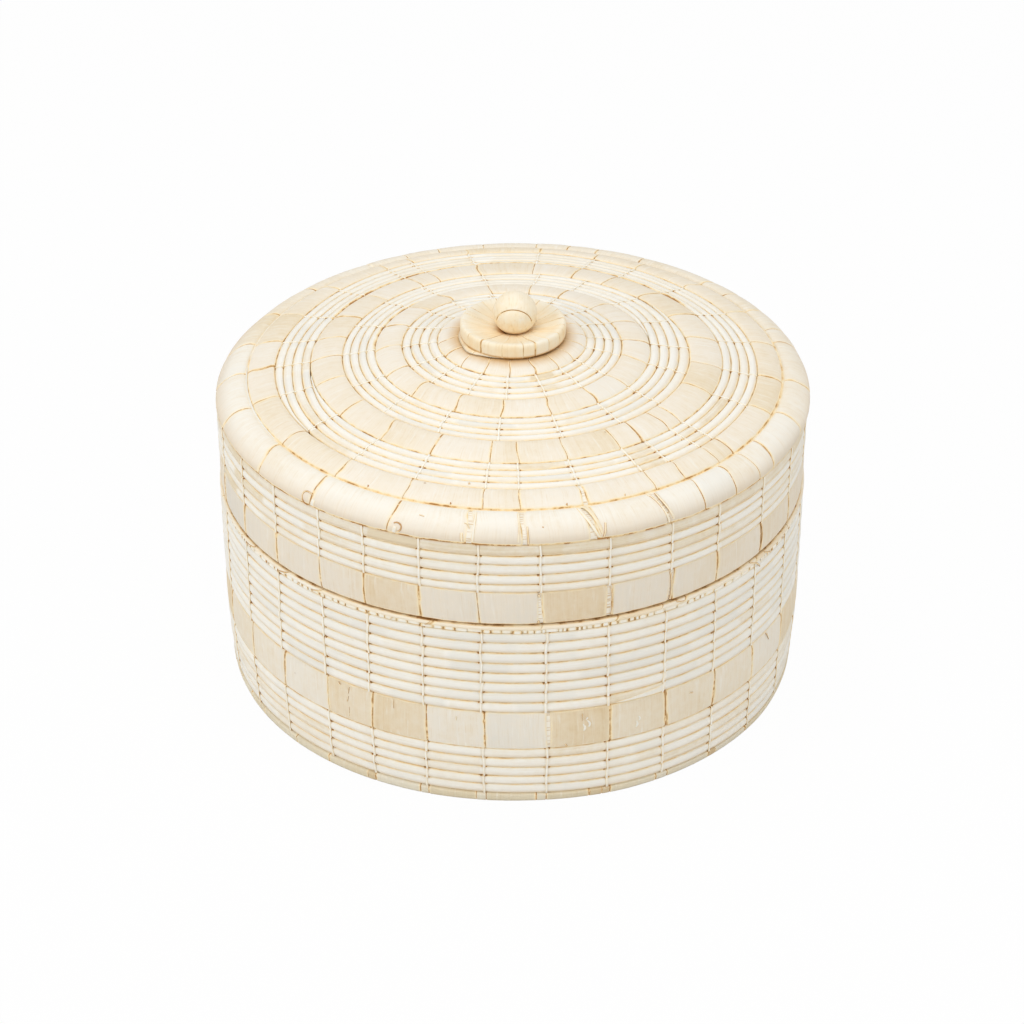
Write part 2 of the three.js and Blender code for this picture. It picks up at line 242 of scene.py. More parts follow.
def turned(radius, azimuth, height):
    """Points on circles round the Z axis, by azimuth from the front (-Y) to the right.

    Made by hand, the box isn't quite true. Its rows sag by up to 2.7 mm at the right of the
    front, its foot bulges there by 1.4 mm, and the lid's outer rings wander in and out by up
    to 4 mm, in waves round the lid.
    """
    side = np.degrees(azimuth) % 360.0
    share = ramp(side, (0, 0.4), (12, 0.55), (30, 0.8), (45, 1), (62, 1.05), (150, 0.1), (320, 0))
    share = np.maximum(share, ramp(side, (320, 0), (348, 0.15), (360, 0.4)))
    wall_steps = (2, 0), (5.5, 1.5), (14, 2.3), (45, 2.65), (80, 1.8), (102, 0.9), (106, 0)
    wall_drop = ramp(height, *wall_steps)
    skirt_drop = ramp(height, (106, 0), (123.8, 0.3), (134, 0.8), (147, 1), (151, 0.5), (156, 0))
    bulge = ramp(side, (3, 0), (22, 1.4), (58, 1.4), (78, 0), (92, -0.7), (125, 0))
    squeeze_steps = (60, 0), (76, 0.8), (97, -1.3), (110, -1.3), (160, -0.3), (190, -1.5), (205, -2.5)
    squeeze = ramp(side, *squeeze_steps)
    squeeze = squeeze * ramp(side, (205, 1), (240, 0.95), (270, 0.5), (285, 0.2), (300, 0))
    wave_sizes = (-0.11, 2.06), (-0.82, -0.40), (0.18, -0.27)
    waves = -0.41
    for count, (cosine, sine) in enumerate(wave_sizes, 1):
        waves = waves + cosine * np.cos(count * azimuth) + sine * np.sin(count * azimuth)
    ring_steps = (62, 0), (80, 0.4), (88, 0.95), (103, 1), (121, 0.9), (134, 0.6), (150, 0.5)
    waves = waves * ramp(radius, *ring_steps)
    waves = waves + squeeze * ramp(radius, (134, 0), (149, 1))
    back = ramp(side, (135, 0), (170, 1), (208, 1), (242, 0))
    waves = waves + back * ramp(radius, (72, 0), (87, 1.2), (103, 2.6), (121, 3.6), (133, 0))
    radius = radius + bulge * ramp(height, (6, 1), (34, 0)) + waves * ramp(height, (151, 0), (156, 1))
    height = height - share * (wall_drop + skirt_drop)
    across, back = radius * np.sin(azimuth), -radius * np.cos(azimuth)
    return together(across, back, height) * MM


def cushion(power, count):
    """A cushion-shaped loop: cosine and sine of even angles, each raised to 2/power."""
    angle = np.arange(count) * (TURN / count)
    return [np.sign(wave) * np.abs(wave) ** (2.0 / power) for wave in (np.cos(angle), np.sin(angle))]


def add_piece(name, points, uv, marks, closed, material, body, nodes):
    """Makes one piece from tubes of the same size.

    points holds (tube, along, around, xyz). Each tube is closed around; along, it is closed to a
    ring, or ends in two flat caps. uv has one more row and column than that, where the tube
    closes. marks are numbers for each point. Faces are turned so that the volume is positive.
    """
    tubes, along, around, _ = points.shape
    steps = along if closed else along - 1
    i, j = np.meshgrid(np.arange(steps), np.arange(around), indexing="ij")
    corners = np.stack([(i, j), (i + 1, j), (i + 1, j + 1), (i, j + 1)])
    rows, columns = corners[:, 0], corners[:, 1]
    quads = ((rows % along) * around + columns % around).reshape(4, -1).T
    quad_uv = (rows * (around + 1) + columns).reshape(4, -1).T

    first = points[0].reshape(-1, 3)
    a, b, c, d = (first[quads[:, k]] for k in range(4))
    volume = np.einsum("ij,ij->", a, np.cross(b, c)) + np.einsum("ij,ij->", a, np.cross(c, d))
    if volume < 0:
        quads = quads[:, ::-1]
        quad_uv = quad_uv[:, ::-1]

    starts = np.arange(tubes)[:, None, None] * along * around
    loops = [(quads[None] + starts).ravel()]
    sizes = [np.full(tubes * len(quads), 4)]
    loop_uv = [uv.reshape(tubes, -1, 2)[:, quad_uv.ravel()].reshape(-1, 2)]
    if not closed:
        end = np.arange(around) if volume < 0 else np.arange(around)[::-1]
        for row, cap in ((0, end), (along - 1, end[::-1])):
            loops.append((cap[None] + row * around + starts[:, 0]).ravel())
            sizes.append(np.full(tubes, around))
            loop_uv.append(uv[:, row][:, cap].reshape(-1, 2))
    loops = np.concatenate(loops).astype(np.int32)
    sizes = np.concatenate(sizes).astype(np.int32)

    mesh = bpy.data.meshes.new(name)
    mesh.vertices.add(tubes * along * around)
    mesh.vertices.foreach_set("co", points.astype(np.float32).ravel())
    mesh.loops.add(len(loops))
    mesh.loops.foreach_set("vertex_index", loops)
    mesh.polygons.add(len(sizes))
    mesh.polygons.foreach_set("loop_start", np.concatenate([[0], np.cumsum(sizes)[:-1]]).astype(np.int32))
    mesh.polygons.foreach_set("loop_total", sizes)
    mesh.update(calc_edges=True)
    loop_uv = np.concatenate(loop_uv).astype(np.float32)
    mesh.uv_layers.new(name="leaf").data.foreach_set("uv", loop_uv.ravel())
    for mark, numbers in marks.items():
        numbers = np.broadcast_to(numbers, points.shape[:3]).astype(np.float32)
        mesh.attributes.new(mark, "FLOAT", "POINT").data.foreach_set("value", numbers.ravel())
    mesh.polygons.foreach_set("use_smooth", np.ones(len(sizes), dtype=bool))
    mesh.validate()
    mesh.materials.append(material)
    piece = bpy.data.objects.new(name, mesh)
    bpy.context.scene.collection.objects.link(piece)
    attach(piece, body)
    if nodes:
        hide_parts(*nodes)
    return piece


def leaf_look(name, stops, grain=(1500.0, 45.0), gloss=0.46, flecks=0.6, contrast=1.0):
    """Bleached palm leaf, coloured by the numbers stored on each piece's points.

    tint picks the colour, and clouds, streaks and fibres along the leaf vary it. shade is painted
    shade: it darkens the leaf towards a golden brown. furrow turns it golden and then brown, at
    furrows, joints and edges, and on some pieces it also holds painted shade and painted shadow
    lines. gap and wide_gap show what lies between two wraps: a brown crack, or the pale core
    crossed by the rungs of its binding.
    """
    shader = Shader(bpy.data.materials.new(name), Specular_IOR_Level=0.35)
    leaf_place = shader.node("ShaderNodeUVMap", uv_map="leaf")
    place = shader.place()
    cloud = shader.noise(place, (34.0, 34.0, 34.0), 3.0)
    mottle = shader.noise(place, (240.0, 240.0, 240.0), 4.0, 0.65)
    fibre = shader.noise(leaf_place, (*grain, 1.0), 5.0, 0.65)
    streak = shader.noise(leaf_place, (grain[0] * 0.25, grain[1] * 0.35, 1.0), 3.0)
    scuff = shader.noise(leaf_place, (grain[0] * 0.4, grain[1] * 1.3, 1.0), 3.0)
    tint = shader.attribute("tint") + 0.38 * contrast * (cloud - 0.5)
    tint = tint + 0.32 * contrast * (streak - 0.5) + 0.34 * contrast * (mottle - 0.5)
    color = shader.node("ShaderNodeValToRGB", {"Fac": tint}, stops=stops)
    lines = fibre.smooth(0.46, 0.80) * mottle.smooth(0.28, 0.62) * (0.52 * contrast)
    color = shader.mix(lines, color, (0.85, 0.76, 0.60), "MULTIPLY")
    color = shader.mix(scuff.smooth(0.56, 0.72) * 0.35, color, (0.93, 0.91, 0.85))
    spots = shader.node("ShaderNodeTexVoronoi", {"Vector": leaf_place, "Scale": 75.0, "Randomness": 1.0})
    size = shader.noise(place, (150.0, 150.0, 150.0), 1.0)
    spot = (1 - spots.smooth(0.03, 0.08)) * size.smooth(0.58, 0.66) * flecks
    color = shader.mix(spot, color, (0.42, 0.24, 0.09))
    # Painted shade: the shade mark multiplies the colour towards a golden brown.
    color = shader.mix(shader.attribute("shade"), color, (0.76, 0.56, 0.33), "MULTIPLY")
    wander = shader.noise(place, (150.0, 150.0, 150.0), 3.0, 0.6)
    depth = shader.attribute("furrow") * (0.5 + 0.95 * wander.smooth(0.3, 0.72))
    color = shader.mix(depth.smooth(0.04, 0.7) * 0.85, color, (0.94, 0.82, 0.58))
    color = shader.mix(depth.smooth(0.5, 1.05), color, (0.89, 0.68, 0.37))
    color = shader.mix(depth.smooth(1.02, 1.45), color, (0.46, 0.22, 0.06))
    rung = shader.noise(leaf_place, (60.0, 1200.0, 1.0), 1.0)
    core = shader.mix(rung.smooth(0.34, 0.50), (0.72, 0.55, 0.34), (0.92, 0.86, 0.74))
    break_up = shader.noise(leaf_place, (60.0, 240.0, 1.0), 2.0)
    crack = shader.mix(break_up.smooth(0.46, 0.66), (0.50, 0.26, 0.08), (0.93, 0.72, 0.42))
    under = shader.mix(shader.attribute("wide_gap"), crack, core)
    color = shader.mix(shader.attribute("gap").smooth(0.35, 0.75), color, under)
    roughness = gloss + 0.22 * fibre + 0.12 * depth
    return shader.finish(color, roughness, 0.07 * fibre + 0.04 * streak - 0.1 * spot)


cream_stops = [
    (0.00, (0.80, 0.765, 0.685)),
    (0.30, (0.86, 0.80, 0.69)),
    (0.55, (0.84, 0.745, 0.585)),
    (0.78, (0.80, 0.665, 0.46)),
    (1.00, (0.73, 0.56, 0.33)),
]
wound_leaf = leaf_look("wound_leaf", cream_stops)


def seam_list(*groups):
    """Seam azimuths in degrees: each group is a list of its own, or (first, last, count)."""
    runs = [np.linspace(*g) if isinstance(g, tuple) else np.array(g, float) for g in groups]
    return np.concatenate(runs)


def run_along(line):
    """How far along a line of points each of them lies: the sum of the steps up to it."""
    return np.append(0.0, np.cumsum(np.linalg.norm(np.diff(line, axis=0), axis=1)))


def outward(outline):
    """The unit normals of a closed section: the chord past each point, turned outwards."""
    ahead = np.roll(outline, -1, axis=0) - np.roll(outline, 1, axis=0)
    normal = together(ahead[:, 1], -ahead[:, 0])
    normal /= np.linalg.norm(normal, axis=1, keepdims=True)
    following = np.roll(outline, -1, axis=0)
    area = np.sum(outline[:, 0] * following[:, 1] - following[:, 0] * outline[:, 1])
    return normal if area > 0 else -normal


def wound_band(
    name, outline, seams, body, nodes, seed, material, upright=False, steps=6, gaps=(0.25, 1.4),
    widths=None, lean=0.35, swirl=0.0, leans=None, waver=0.12, bulge=0.12, leaf=0.27, most=0.3,
    tint=0.36, spread=0.17, tints=None, painted_light=0.0, edges=(0.15, 0.9), halo=0.07, brim=0.8, side=None,
    shade=0.0,
):
    """A padded ring wound with broad strips of leaf, side by side.

    outline holds the radius and height of a closed section. Each strip lies between two seams
    and stands a leaf's thickness proud of the gaps; a seam leans and wavers over the section,
    so its azimuth is c + a*s + b*sin(3s), with s from -1 at one side of the band to 1. widths,
    leans and tints are set by azimuth for single gaps, seams and strips, and drawn for the
    rest. A further number over the section is added to the tint, as painted highlight and
    painted shade. edges is how brown the strips' edges are, and side, or else a brim at both
    sides, how brown the section is; on some pieces side holds a painted shadow line. shade is
    painted shade, a golden brown darkening.
    """
    rng = np.random.default_rng(seed)
    seams = np.sort(seams % 360.0)
    count, around = len(seams), len(outline)
    axis = 1 if upright else 0
    s = (outline[:, axis] - outline[:, axis].mean()) / np.ptp(outline[:, axis]) * 2
    normal = outward(outline)
    degree = TURN * outline[:, 0].mean() / 360.0

    def set_nearest(numbers, places, given):
        """Puts each given value, listed by azimuth, in the place nearest to it."""
        for azimuth, value in (given or {}).items():
            numbers[np.argmin(np.abs((places - azimuth + 180) % 360 - 180))] = value
        return numbers

    gap = set_nearest(gaps[0] + (gaps[1] - gaps[0]) * rng.beta(0.7, 2.2, count), seams, widths)
    lean = rng.normal(0.0, lean, count) - swirl * np.sin(np.radians(seams))
    lean = set_nearest(lean, seams, leans)
    waver = rng.normal(0.0, waver, count)
    gap_after = np.roll(gap, -1)[:, None]
    line = seams[:, None] + (lean[:, None] * s + waver[:, None] * np.sin(3 * s + seams[:, None])) / degree
    half_gap = gap[:, None] / 2 / degree * (1 + 0.25 * np.sin(2.2 * s + 2.0 * seams[:, None]))
    left = line + half_gap
    right = np.roll(line - half_gap, -1, axis=0)
    right[-1] += 360.0
    following = np.roll(left, -1, axis=0)
    following[-1] += 360.0

    share = np.concatenate([[0.0, 0.012, 0.045], np.linspace(0.12, 0.88, steps), [0.955, 0.988, 1.0]])
    crossing = np.array([0.2, 0.5, 0.8])
    strip = left[:, None, :] + (right - left)[:, None, :] * share[None, :, None]
    between = right[:, None, :] + (following - right)[:, None, :] * crossing[None, :, None]
    azimuth = np.concatenate([strip, between], axis=1)
    columns = azimuth.shape[1]

    rise = rng.uniform(-0.06, 0.08, count)[:, None] + bulge * np.sin(np.pi * share) ** 0.6
    rise[:, [0, -1]] -= 0.07
    tilt = rng.normal(0.0, 0.05, count)[:, None] * (share - 0.5)
    wide_from, deeper = 0.9, 0.12
    sunk = -leaf - deeper * (gap_after > wide_from) * np.ones(3)
    lift = np.minimum(np.concatenate([rise + tilt, sunk], axis=1), most)[:, :, None]
    radius = outline[:, 0] + lift * normal[:, 0]
    height = outline[:, 1] + lift * normal[:, 1]
    points = turned(radius, np.radians(azimuth), height).reshape(1, count * columns, around, 3)

    tint = np.clip(rng.normal(tint, spread, count), 0.0, 0.95)
    tint = set_nearest(tint, (left[:, 0] + right[:, 0]) / 2, tints)
    within = np.concatenate([0.10 * (share - 0.5), np.zeros(3)])
    tint = tint[:, None] + within * rng.choice([-1.0, 1.0], count)[:, None]
    tint = tint[:, :, None] + painted_light + np.zeros(around)
    if side is None:
        side = brim * fade(np.abs(s), 1 - halo, 1) ** 1.3
    edge = np.zeros((2, columns))
    edge[0, :3] = edge[1, len(share) - 1 : len(share) - 4 : -1] = 1.0, 0.6, 0.12
    strength = rng.uniform(*edges, (count, 2))
    furrow = np.maximum(side + np.zeros(around), (strength @ edge)[:, :, None])

    wide = (right - left).mean(1)[:, None] * degree
    inside = np.concatenate([share * wide, wide + gap_after * crossing], 1) * MM
    u = (rng.uniform(0, 5, (count, 1)) + inside).ravel()
    uv = together(np.append(u, u[0])[:, None], run_along(np.vstack([outline, outline[:1]])) * MM)[None]
    marks = {
        "tint": tint.reshape(1, -1, around),
        "furrow": furrow.reshape(1, -1, around),
        "shade": shade,
        "gap": np.tile(np.append(np.zeros(len(share)), np.ones(3)), count)[None, :, None],
        "wide_gap": np.repeat(fade(gap_after, 1.15, 1.5), columns)[None, :, None],
    }
    return add_piece(name, points, uv, marks, True, material, body, nodes)


inner_rows = seam_list(
    [-88, -65.5, -46.5, -24.5, -4, 16.5, 37.5, 55.5, 77, 94, 113, 132.5, 154, 171, 191, 214, 231, 251]
)
outer_rows = seam_list(
    [-88, -74, -56.5, -39, -22.5, -6, 1.5, 15, 30.5, 38, 47.5, 52.5, 70, 84],
    [100, 115.5, 132, 147.5, 159, 173, 191, 206, 213, 229, 245, 259.5],
)
button_radius = 23.8
band_widths = [13.6, 13.9, 16.3, 13.3]
coil_pitch = 4.45
coil_turns = 4
ring_gap, ring_crown = 0.12, 2.1
floor_radius, floor_bottom, floor_top, floor_turn = 131.0, 0.6, 5.4, 11.0

band_inner, coil_inner = [button_radius], []
for band_width in band_widths:
    coil_inner.append(band_inner[-1] + band_width)
    band_inner.append(coil_inner[-1] + coil_turns * coil_pitch)


def padded_outline(inner, width, line, low, high, power):
    """A cushion-shaped section between two radii, from low to high over a given line."""
    x, y = cushion(power, 34)
    radius = inner + width / 2 + (width / 2 - ring_gap / 2) * x
    middle = high - ring_crown
    return together(radius, line(radius) + middle + np.where(y > 0, ring_crown, middle - low) * y)


for index in range(4):
    width = band_widths[index] if index < 3 else floor_radius - band_inner[3]
    rows = inner_rows if index < 2 else outer_rows
    outline = padded_outline(band_inner[index], width, np.zeros_like, floor_bottom, floor_top, 3.2)
    node = f"floor_band_{index + 1}"
    wound_band(
        f"{node}_leaf", outline, rows + floor_turn, "box", [node], 40 + index, wound_leaf,
        most=0.1,
    )

# Floor coils
# Between the bands lie flat coils of four turns each, of white leaf strips round a thin core.
# Narrow leaf ties lace each turn to its neighbour.

white_stops = [
    (0.00, (0.84, 0.82, 0.755)),
    (0.45, (0.925, 0.90, 0.83)),
    (0.80, (0.88, 0.82, 0.70)),
    (1.00, (0.80, 0.69, 0.50)),
]
strip_leaf = leaf_look("strip_leaf", white_stops, (30.0, 1900.0), gloss=0.38, flecks=0.35)
tie_stops = [(0.0, (0.95, 0.925, 0.85)), (1.0, (0.935, 0.87, 0.74))]
tie_leaf = leaf_look("tie_leaf", tie_stops, (40.0, 2500.0), gloss=0.4, flecks=0.0)
climb_at_back = (180.0, 45.0)


def coil_pieces(
    name, surface, turns, pitch, thickness, climb, rows, seed, body, nodes, crown=1.7, offsets=None,
    holes=(0.5, 0.9, 1.35), pinch=0.1, under=-1.0, tint=0.36, spread=0.15, segments=(), bared=(),
    shade=0.75, tie_width=1.15, tie_lift=0.18, tie_sides=0.95,
):
    """One coil of several turns, and the leaf ties that lace each turn to its neighbour.

    The strand runs on from turn to turn. Over most of a turn it keeps to its row; within the
    climb it moves to the next by 3x^2 - 2x^3, and its two ends taper out in the same way. Its
    section is a cushion shape between two wavering furrows. Beside each tie the furrow opens
    to a small hole. surface(across, depth) gives the radius and height of a section's point.
    offsets shift the furrows. shade is painted shade on the flank of the under side, where the
    furrow's golden colour also starts further in. segments are given as (row, first azimuth,
    last azimuth, tint), and bared likewise, where a furrow shows more.
    """
    rng = np.random.default_rng(seed)
    start, share, around = climb[0], climb[1] / 360.0, 24
    length = TURN * surface(np.array(turns * pitch / 2), np.array(0.0))[0]
    offsets = offsets or [0.0] * (turns + 1)

    def row_of(t):
        """The row that the strand is in after t turns, from -1 up, climbing by the smooth step."""
        x = np.clip((t % 1.0) / share, 0.0, 1.0)
        return np.floor(t) - 1.0 + x * x * (3.0 - 2.0 * x)

    def edge(row, t):
        """The furrow below a row: a straight circle that wavers a little between the ends."""
        angle = TURN * t
        waver = np.sin(2 * angle + 1.7 * row + seed) + 0.7 * np.sin(5 * angle - 2.3 * row)
        waver = 0.028 * (waver + 0.5 * np.sin(11 * angle + 4.1 * row))
        free = np.clip(np.minimum(row, turns - row), 0.0, 1.0)
        return np.interp(row, np.arange(turns + 1), offsets) + pitch * (row + waver * free)

    def section(t, gap, x, y, outward=0.0):
        """The section's points: across between the two furrows, depth down from the crown."""
        low = edge(np.maximum(0.0, row_of(t)), t) + gap
        high = edge(np.minimum(float(turns), row_of(t) + 1.0), t) - gap
        center, half = (low + high)[..., None] / 2, (high - low)[..., None] / 2
        depth = crown - (np.where(y > 0, crown, thickness - crown) + outward) * y
        sink = 0.14 * (1 + np.sin(9.0 * row_of(t) + 3.0 * TURN * t))
        return center + (half + outward) * x, depth + sink[..., None] * (1 + y) / 2

    phase = np.sort(((rows - start) / 360.0) % 1.0)
    tie_t = (np.arange(turns + 1)[:, None] + phase[None]).ravel()
    tie_t = tie_t + rng.normal(0.0, 0.22, len(tie_t)) / length
    tip, far_step, least_step = 0.24, 4.2, 0.28
    begin, end = tip * share, turns + (1 - tip) * share
    tie_t = np.sort(tie_t[(tie_t > begin) & (tie_t < end)])
    near = np.array([-2.4, -1.7, -1.3, -0.95, -0.6, 0.6, 0.95, 1.3, 1.7, 2.4]) / length
    fill = np.linspace(begin, end, int((end - begin) * length / far_step))
    t = np.sort(np.concatenate([(tie_t[:, None] + near).ravel(), fill]))
    t = t[(t >= begin) & (t <= end)]
    t = t[np.concatenate([[True], np.diff(t) * length > least_step])]

    after = np.clip(np.searchsorted(tie_t, t), 1, len(tie_t) - 1)
    left, right = t - tie_t[after - 1], tie_t[after] - t
    beside = np.minimum(np.abs(left), np.abs(right)) * length
    strength = rng.choice(holes, (2, len(tie_t)))
    hole_place, hole_width, slit, opening = 1.15, 0.42, 0.02, 0.11
    hole = np.exp(-(((beside - hole_place) / hole_width) ** 2))
    hole = hole * strength[(left < right).astype(int), after]
    press = 0.16 * np.exp(-((beside / 2.2) ** 2)) + pinch * np.exp(-((beside / 0.9) ** 2))
    x, y = cushion(2.15, around)
    across, depth = section(t, slit + opening * hole, x, y)
    depth = depth + press[:, None] * np.clip(y, 0, 1)
    radius, height = surface(across, depth)
    points = turned(radius, np.radians(start) + TURN * t[:, None], height)[None]
    # Painted shade on the strand's under flank: there the golden furrow colour starts further in, and the
    # shade mark darkens it.
    shaded = np.clip(under * x, 0, 1)
    flank = 0.62 - 0.36 * (shaded > 0)
    furrow = fade(np.abs(x), flank, 1) ** 2.2 + fade(np.abs(x), 0.72, 0.92) * hole[:, None]
    stretch = np.floor(t * len(rows) - 0.5).astype(int)
    tint = tint + rng.normal(0.0, spread, stretch.max() + 2)[stretch]
    here = (start + 360.0 * t) % 360.0

    def inside(row, first, last):
        """Which points of the strand lie in a row between two azimuths."""
        return (np.abs(row_of(t) - row) < 0.5) & ((here - first) % 360.0 < (last - first) % 360.0)

    for *patch, value in segments:
        tint = np.where(inside(*patch), value, tint)
    for *patch, value in bared:
        furrow = furrow + value * inside(*patch)[:, None] * np.clip(-1.6 * x, 0, 1)
    loop = np.linspace(0.0, 2 * (pitch + thickness), around + 1) * MM + 0.013 * np.floor(t)[:, None]
    uv = together(t[:, None] * length * MM, loop)[None]
    marks = {"tint": tint[None, :, None], "furrow": furrow[None], "shade": shade * shaded**1.3}
    add_piece(name, points, uv, marks, False, strip_leaf, body, nodes)

    full = np.minimum(turns, row_of(tie_t) + 1) - np.maximum(0, row_of(tie_t)) > 0.55
    tie_t = tie_t[full]
    count = len(tie_t)
    around = 12
    x, y = cushion(6.0, around)
    ribbon_across = np.array([-0.5, -0.43, -0.3, 0.3, 0.43, 0.5])
    low, high = -0.3, 0.7 * tie_lift
    wide = tie_width * (1 + rng.normal(0.0, 0.12, count))
    slant = rng.normal(0.0, 0.16, count)
    rises = (low, high, tie_lift, tie_lift, high, low)
    sections = [section(tie_t, -slit, x, y, rise) for rise in rises]
    across, depth = (np.stack([part[k] for part in sections], -1) for k in (0, 1))
    radius, height = surface(across, depth)
    aside = wide[:, None, None] * ribbon_across + slant[:, None, None] * x[None, :, None]
    points = turned(radius, np.radians(start) + TURN * tie_t[:, None, None] + aside / radius, height)
    # The tie browns at its sides and where it dips into the furrows: partly the leaf's own edges, partly
    # painted shade.
    sides = tie_sides * np.array([1.0, 0.5, 0.0, 0.0, 0.5, 1.0])
    furrow = 0.85 * fade(np.abs(x), 0.8, 1)[None, :, None] + sides
    uv_across = np.linspace(0, 2 * pitch, around + 1)[:, None] * MM
    uv = together(uv_across + 0.03 * np.arange(count)[:, None, None], np.linspace(0, 3, 7) * MM)
    marks = {"tint": rng.uniform(0, 1, (count, 1, 1)), "furrow": furrow}
    ties = name.replace("_strand", "") + "_ties"
    add_piece(ties, points, uv, marks, True, tie_leaf, body, None)


def ring_surface(inner, line, top):
    """Radius and height on a flat coil: depth is counted down from a top over a given line."""
    return lambda across, depth: (inner + across, line(inner + across) + top - depth)


for index in range(3):
    rows = inner_rows if index < 2 else outer_rows
    surface = ring_surface(coil_inner[index], np.zeros_like, floor_top - 0.1)
    node = f"floor_coil_{index + 1}"
    coil_pieces(
        f"{node}_strand", surface, coil_turns, coil_pitch, 4.6, climb_at_back, rows + floor_turn,
        50 + index, "box", [node], crown=1.3,
    )

# Floor button
# The floor begins with a flat leaf-wound disc: strips run out from its middle like petals and
# lap over its edge. The first padded band is laced to it.


def on_line(places, run, line):
    """Both numbers of a line of points at given places of its run, straight between points."""
    return [np.interp(places, run, line[:, k]) for k in (0, 1)]


# The outline is turned round the axis. Over each twelfth of the turn a petal rises from its edge
# by the root of half a sine wave, less and less towards the middle.
button_outline = np.array(
    [(0, floor_bottom), (22.6, floor_bottom), (23.5, 1.6), (23.5, 4.4), (22.6, floor_top), (0, floor_top)]
)
button_run = run_along(button_outline)
button_even = np.linspace(0, button_run[-1], 44)[:, None]
button_across, button_up = on_line(button_even, button_run, button_outline)
petals, petal_steps = 12, 8
petal_azimuth = np.linspace(0, TURN, petals * petal_steps, endpoint=False)
petal_share = np.tile(np.linspace(0, 1, petal_steps, endpoint=False), petals)
petal_rise = np.where(petal_share == 0, -0.25, 0.1 * np.sin(np.pi * petal_share) ** 0.5)
petal_rise = petal_rise * fade(button_across, 0, 8) * (button_even > button_run[3])
petal_points = turned(np.maximum(button_across, 0.02), petal_azimuth, button_up + petal_rise)[None]
petal_uv = together(np.append(petal_azimuth, TURN) * 0.02, button_even * MM)[None]
petal_tint = np.repeat(np.random.default_rng(60).normal(0.4, 0.12, petals), petal_steps)
petal_edge = 0.8 * (petal_share == 0) * fade(button_across, 1.8, 7.8)
petal_marks = {"tint": petal_tint, "furrow": petal_edge}
add_piece(
    "floor_button_leaf", petal_points, petal_uv, petal_marks, False, wound_leaf, "box",
    ["floor_center_button"],
)

# Foot
# The floor's outer edge is a low ring wound with yellowish leaf. It carries the wall, and the
# box stands on it.

foot_height = 5.5


def spline_loop(corners, count):
    """A smooth closed outline through given corners, in even steps along its length.

    From corner b to corner c it is a cubic, with slopes of (c - a) / 2 and (d - b) / 2, where
    a and d are the corners before and after.
    """
    control = np.array(corners, float)
    size = len(control)
    t = np.linspace(0, size, size * 24, endpoint=False)
    k = t.astype(int)
    f = (t - k)[:, None]
    a, b, c, d = [control[(k + shift) % size] for shift in (-1, 0, 1, 2)]
    curve = b + 0.5 * ((c - a) * f + (2 * a - 5 * b + 4 * c - d) * f**2 + (3 * b - a - 3 * c + d) * f**3)
    closed = np.vstack([curve, curve[:1]])
    run = run_along(closed)
    return together(*on_line(np.linspace(0, run[-1], count, endpoint=False), run, closed))


foot_rows = seam_list(
    [-47, -38.3, -28.7, -27, -18, -16, -6.6, -4.8, 4.8, 6.6, 14.7, 17.2, 19, 28.8, 30.9, 41.2, 43.2, 52.5],
    (61, 301, 40),
)
foot_corners = [
    (132, 0.5), (140, 0.25), (146.2, 0.25), (147.4, 1.0), (147.75, 3.4), (147.45, 5.3), (140, 5.4),
    (132, 5.3),
]
foot_stops = [
    (0.0, (0.82, 0.76, 0.62)),
    (0.35, (0.79, 0.71, 0.54)),
    (0.7, (0.75, 0.64, 0.44)),
    (1.0, (0.68, 0.52, 0.31)),
]
foot_leaf = leaf_look("foot_leaf", foot_stops)
wound_band(
    "foot_leaf_band", spline_loop(foot_corners, 30), foot_rows, "box", ["foot_ring"], 71,
    foot_leaf, steps=4, most=0.0, bulge=0.0, gaps=(0.3, 1.0), edges=(0.7, 1.6), side=0.0, tint=0.4,
    tints={-28: 0.85, -17: 0.1, -5.7: 0.0, 5.7: 0.1, 16: 0.75, 18: 0.9, 29.8: 0.0, 42: 0.95},
)

# Lower wall
# Five turns of thin white cane coil rise from the foot. Each is laced to the one below by
# narrow leaf ties, which stand over one another in rows.

lower_turns, wall_pitch = 5, 5.7
wall_radius, wall_inner, foot_inset, straight_from = 150.0, 144.0, 2.7, 51.0
wall_front = [-61, -49.3, -37.3, -27.2, -16.3, -5.3, 6.5, 18.2, 29.8, 41.5, 53.0]
wall_rows = seam_list(wall_front, (65.5, 286.5, 19))


def wall_line(height):
    """The wall's outer radius: straight, drawing in by a square law near the foot."""
    return wall_radius - foot_inset * np.maximum(0.0, 1 - height / straight_from) ** 2


def wall_coil_surface(bottom):
    """Radius and height on the wall: depth is counted in from the wall's line."""
    return lambda across, depth: (wall_line(bottom + across) - depth, bottom + across)


lower_segments = [
    (4, 6.8, 18, 0.85), (3, 6.8, 18, 0.65), (2, 6.8, 23.5, 0.55), (2, -60.5, -37.3, 0.8),
    (3, 23.8, 29.5, 0.2),
]
coil_pieces(
    "wall_lower_strand", wall_coil_surface(foot_height), lower_turns, wall_pitch, 5.6, climb_at_back,
    wall_rows, 81, "box", ["wall_coil_lower"], segments=lower_segments, tint=0.56,
)

# Wall band
# A flat hoop stands on the lower coil. Broad strips of leaf are wound round it one beside the
# other, so that its grain runs up and down; at some seams the bound core shows.

band_bottom, band_top = 34.1, 55.85


def upright_outline(outer, inner, low, high, count=44, crown=0.35):
    """A tall rounded box: a cushion loop of a high power with a slightly crowned outer face."""
    x, y = cushion(7.0, count)
    height = (low + high) / 2 + (high - low) / 2 * x
    radius = (outer + inner) / 2 + (outer - inner) / 2 * y
    bow = crown * (1 - ((height - (low + high) / 2) / ((high - low) / 2)) ** 2) * (y > 0)
    return together(radius + bow - crown * (y > 0.3), height)


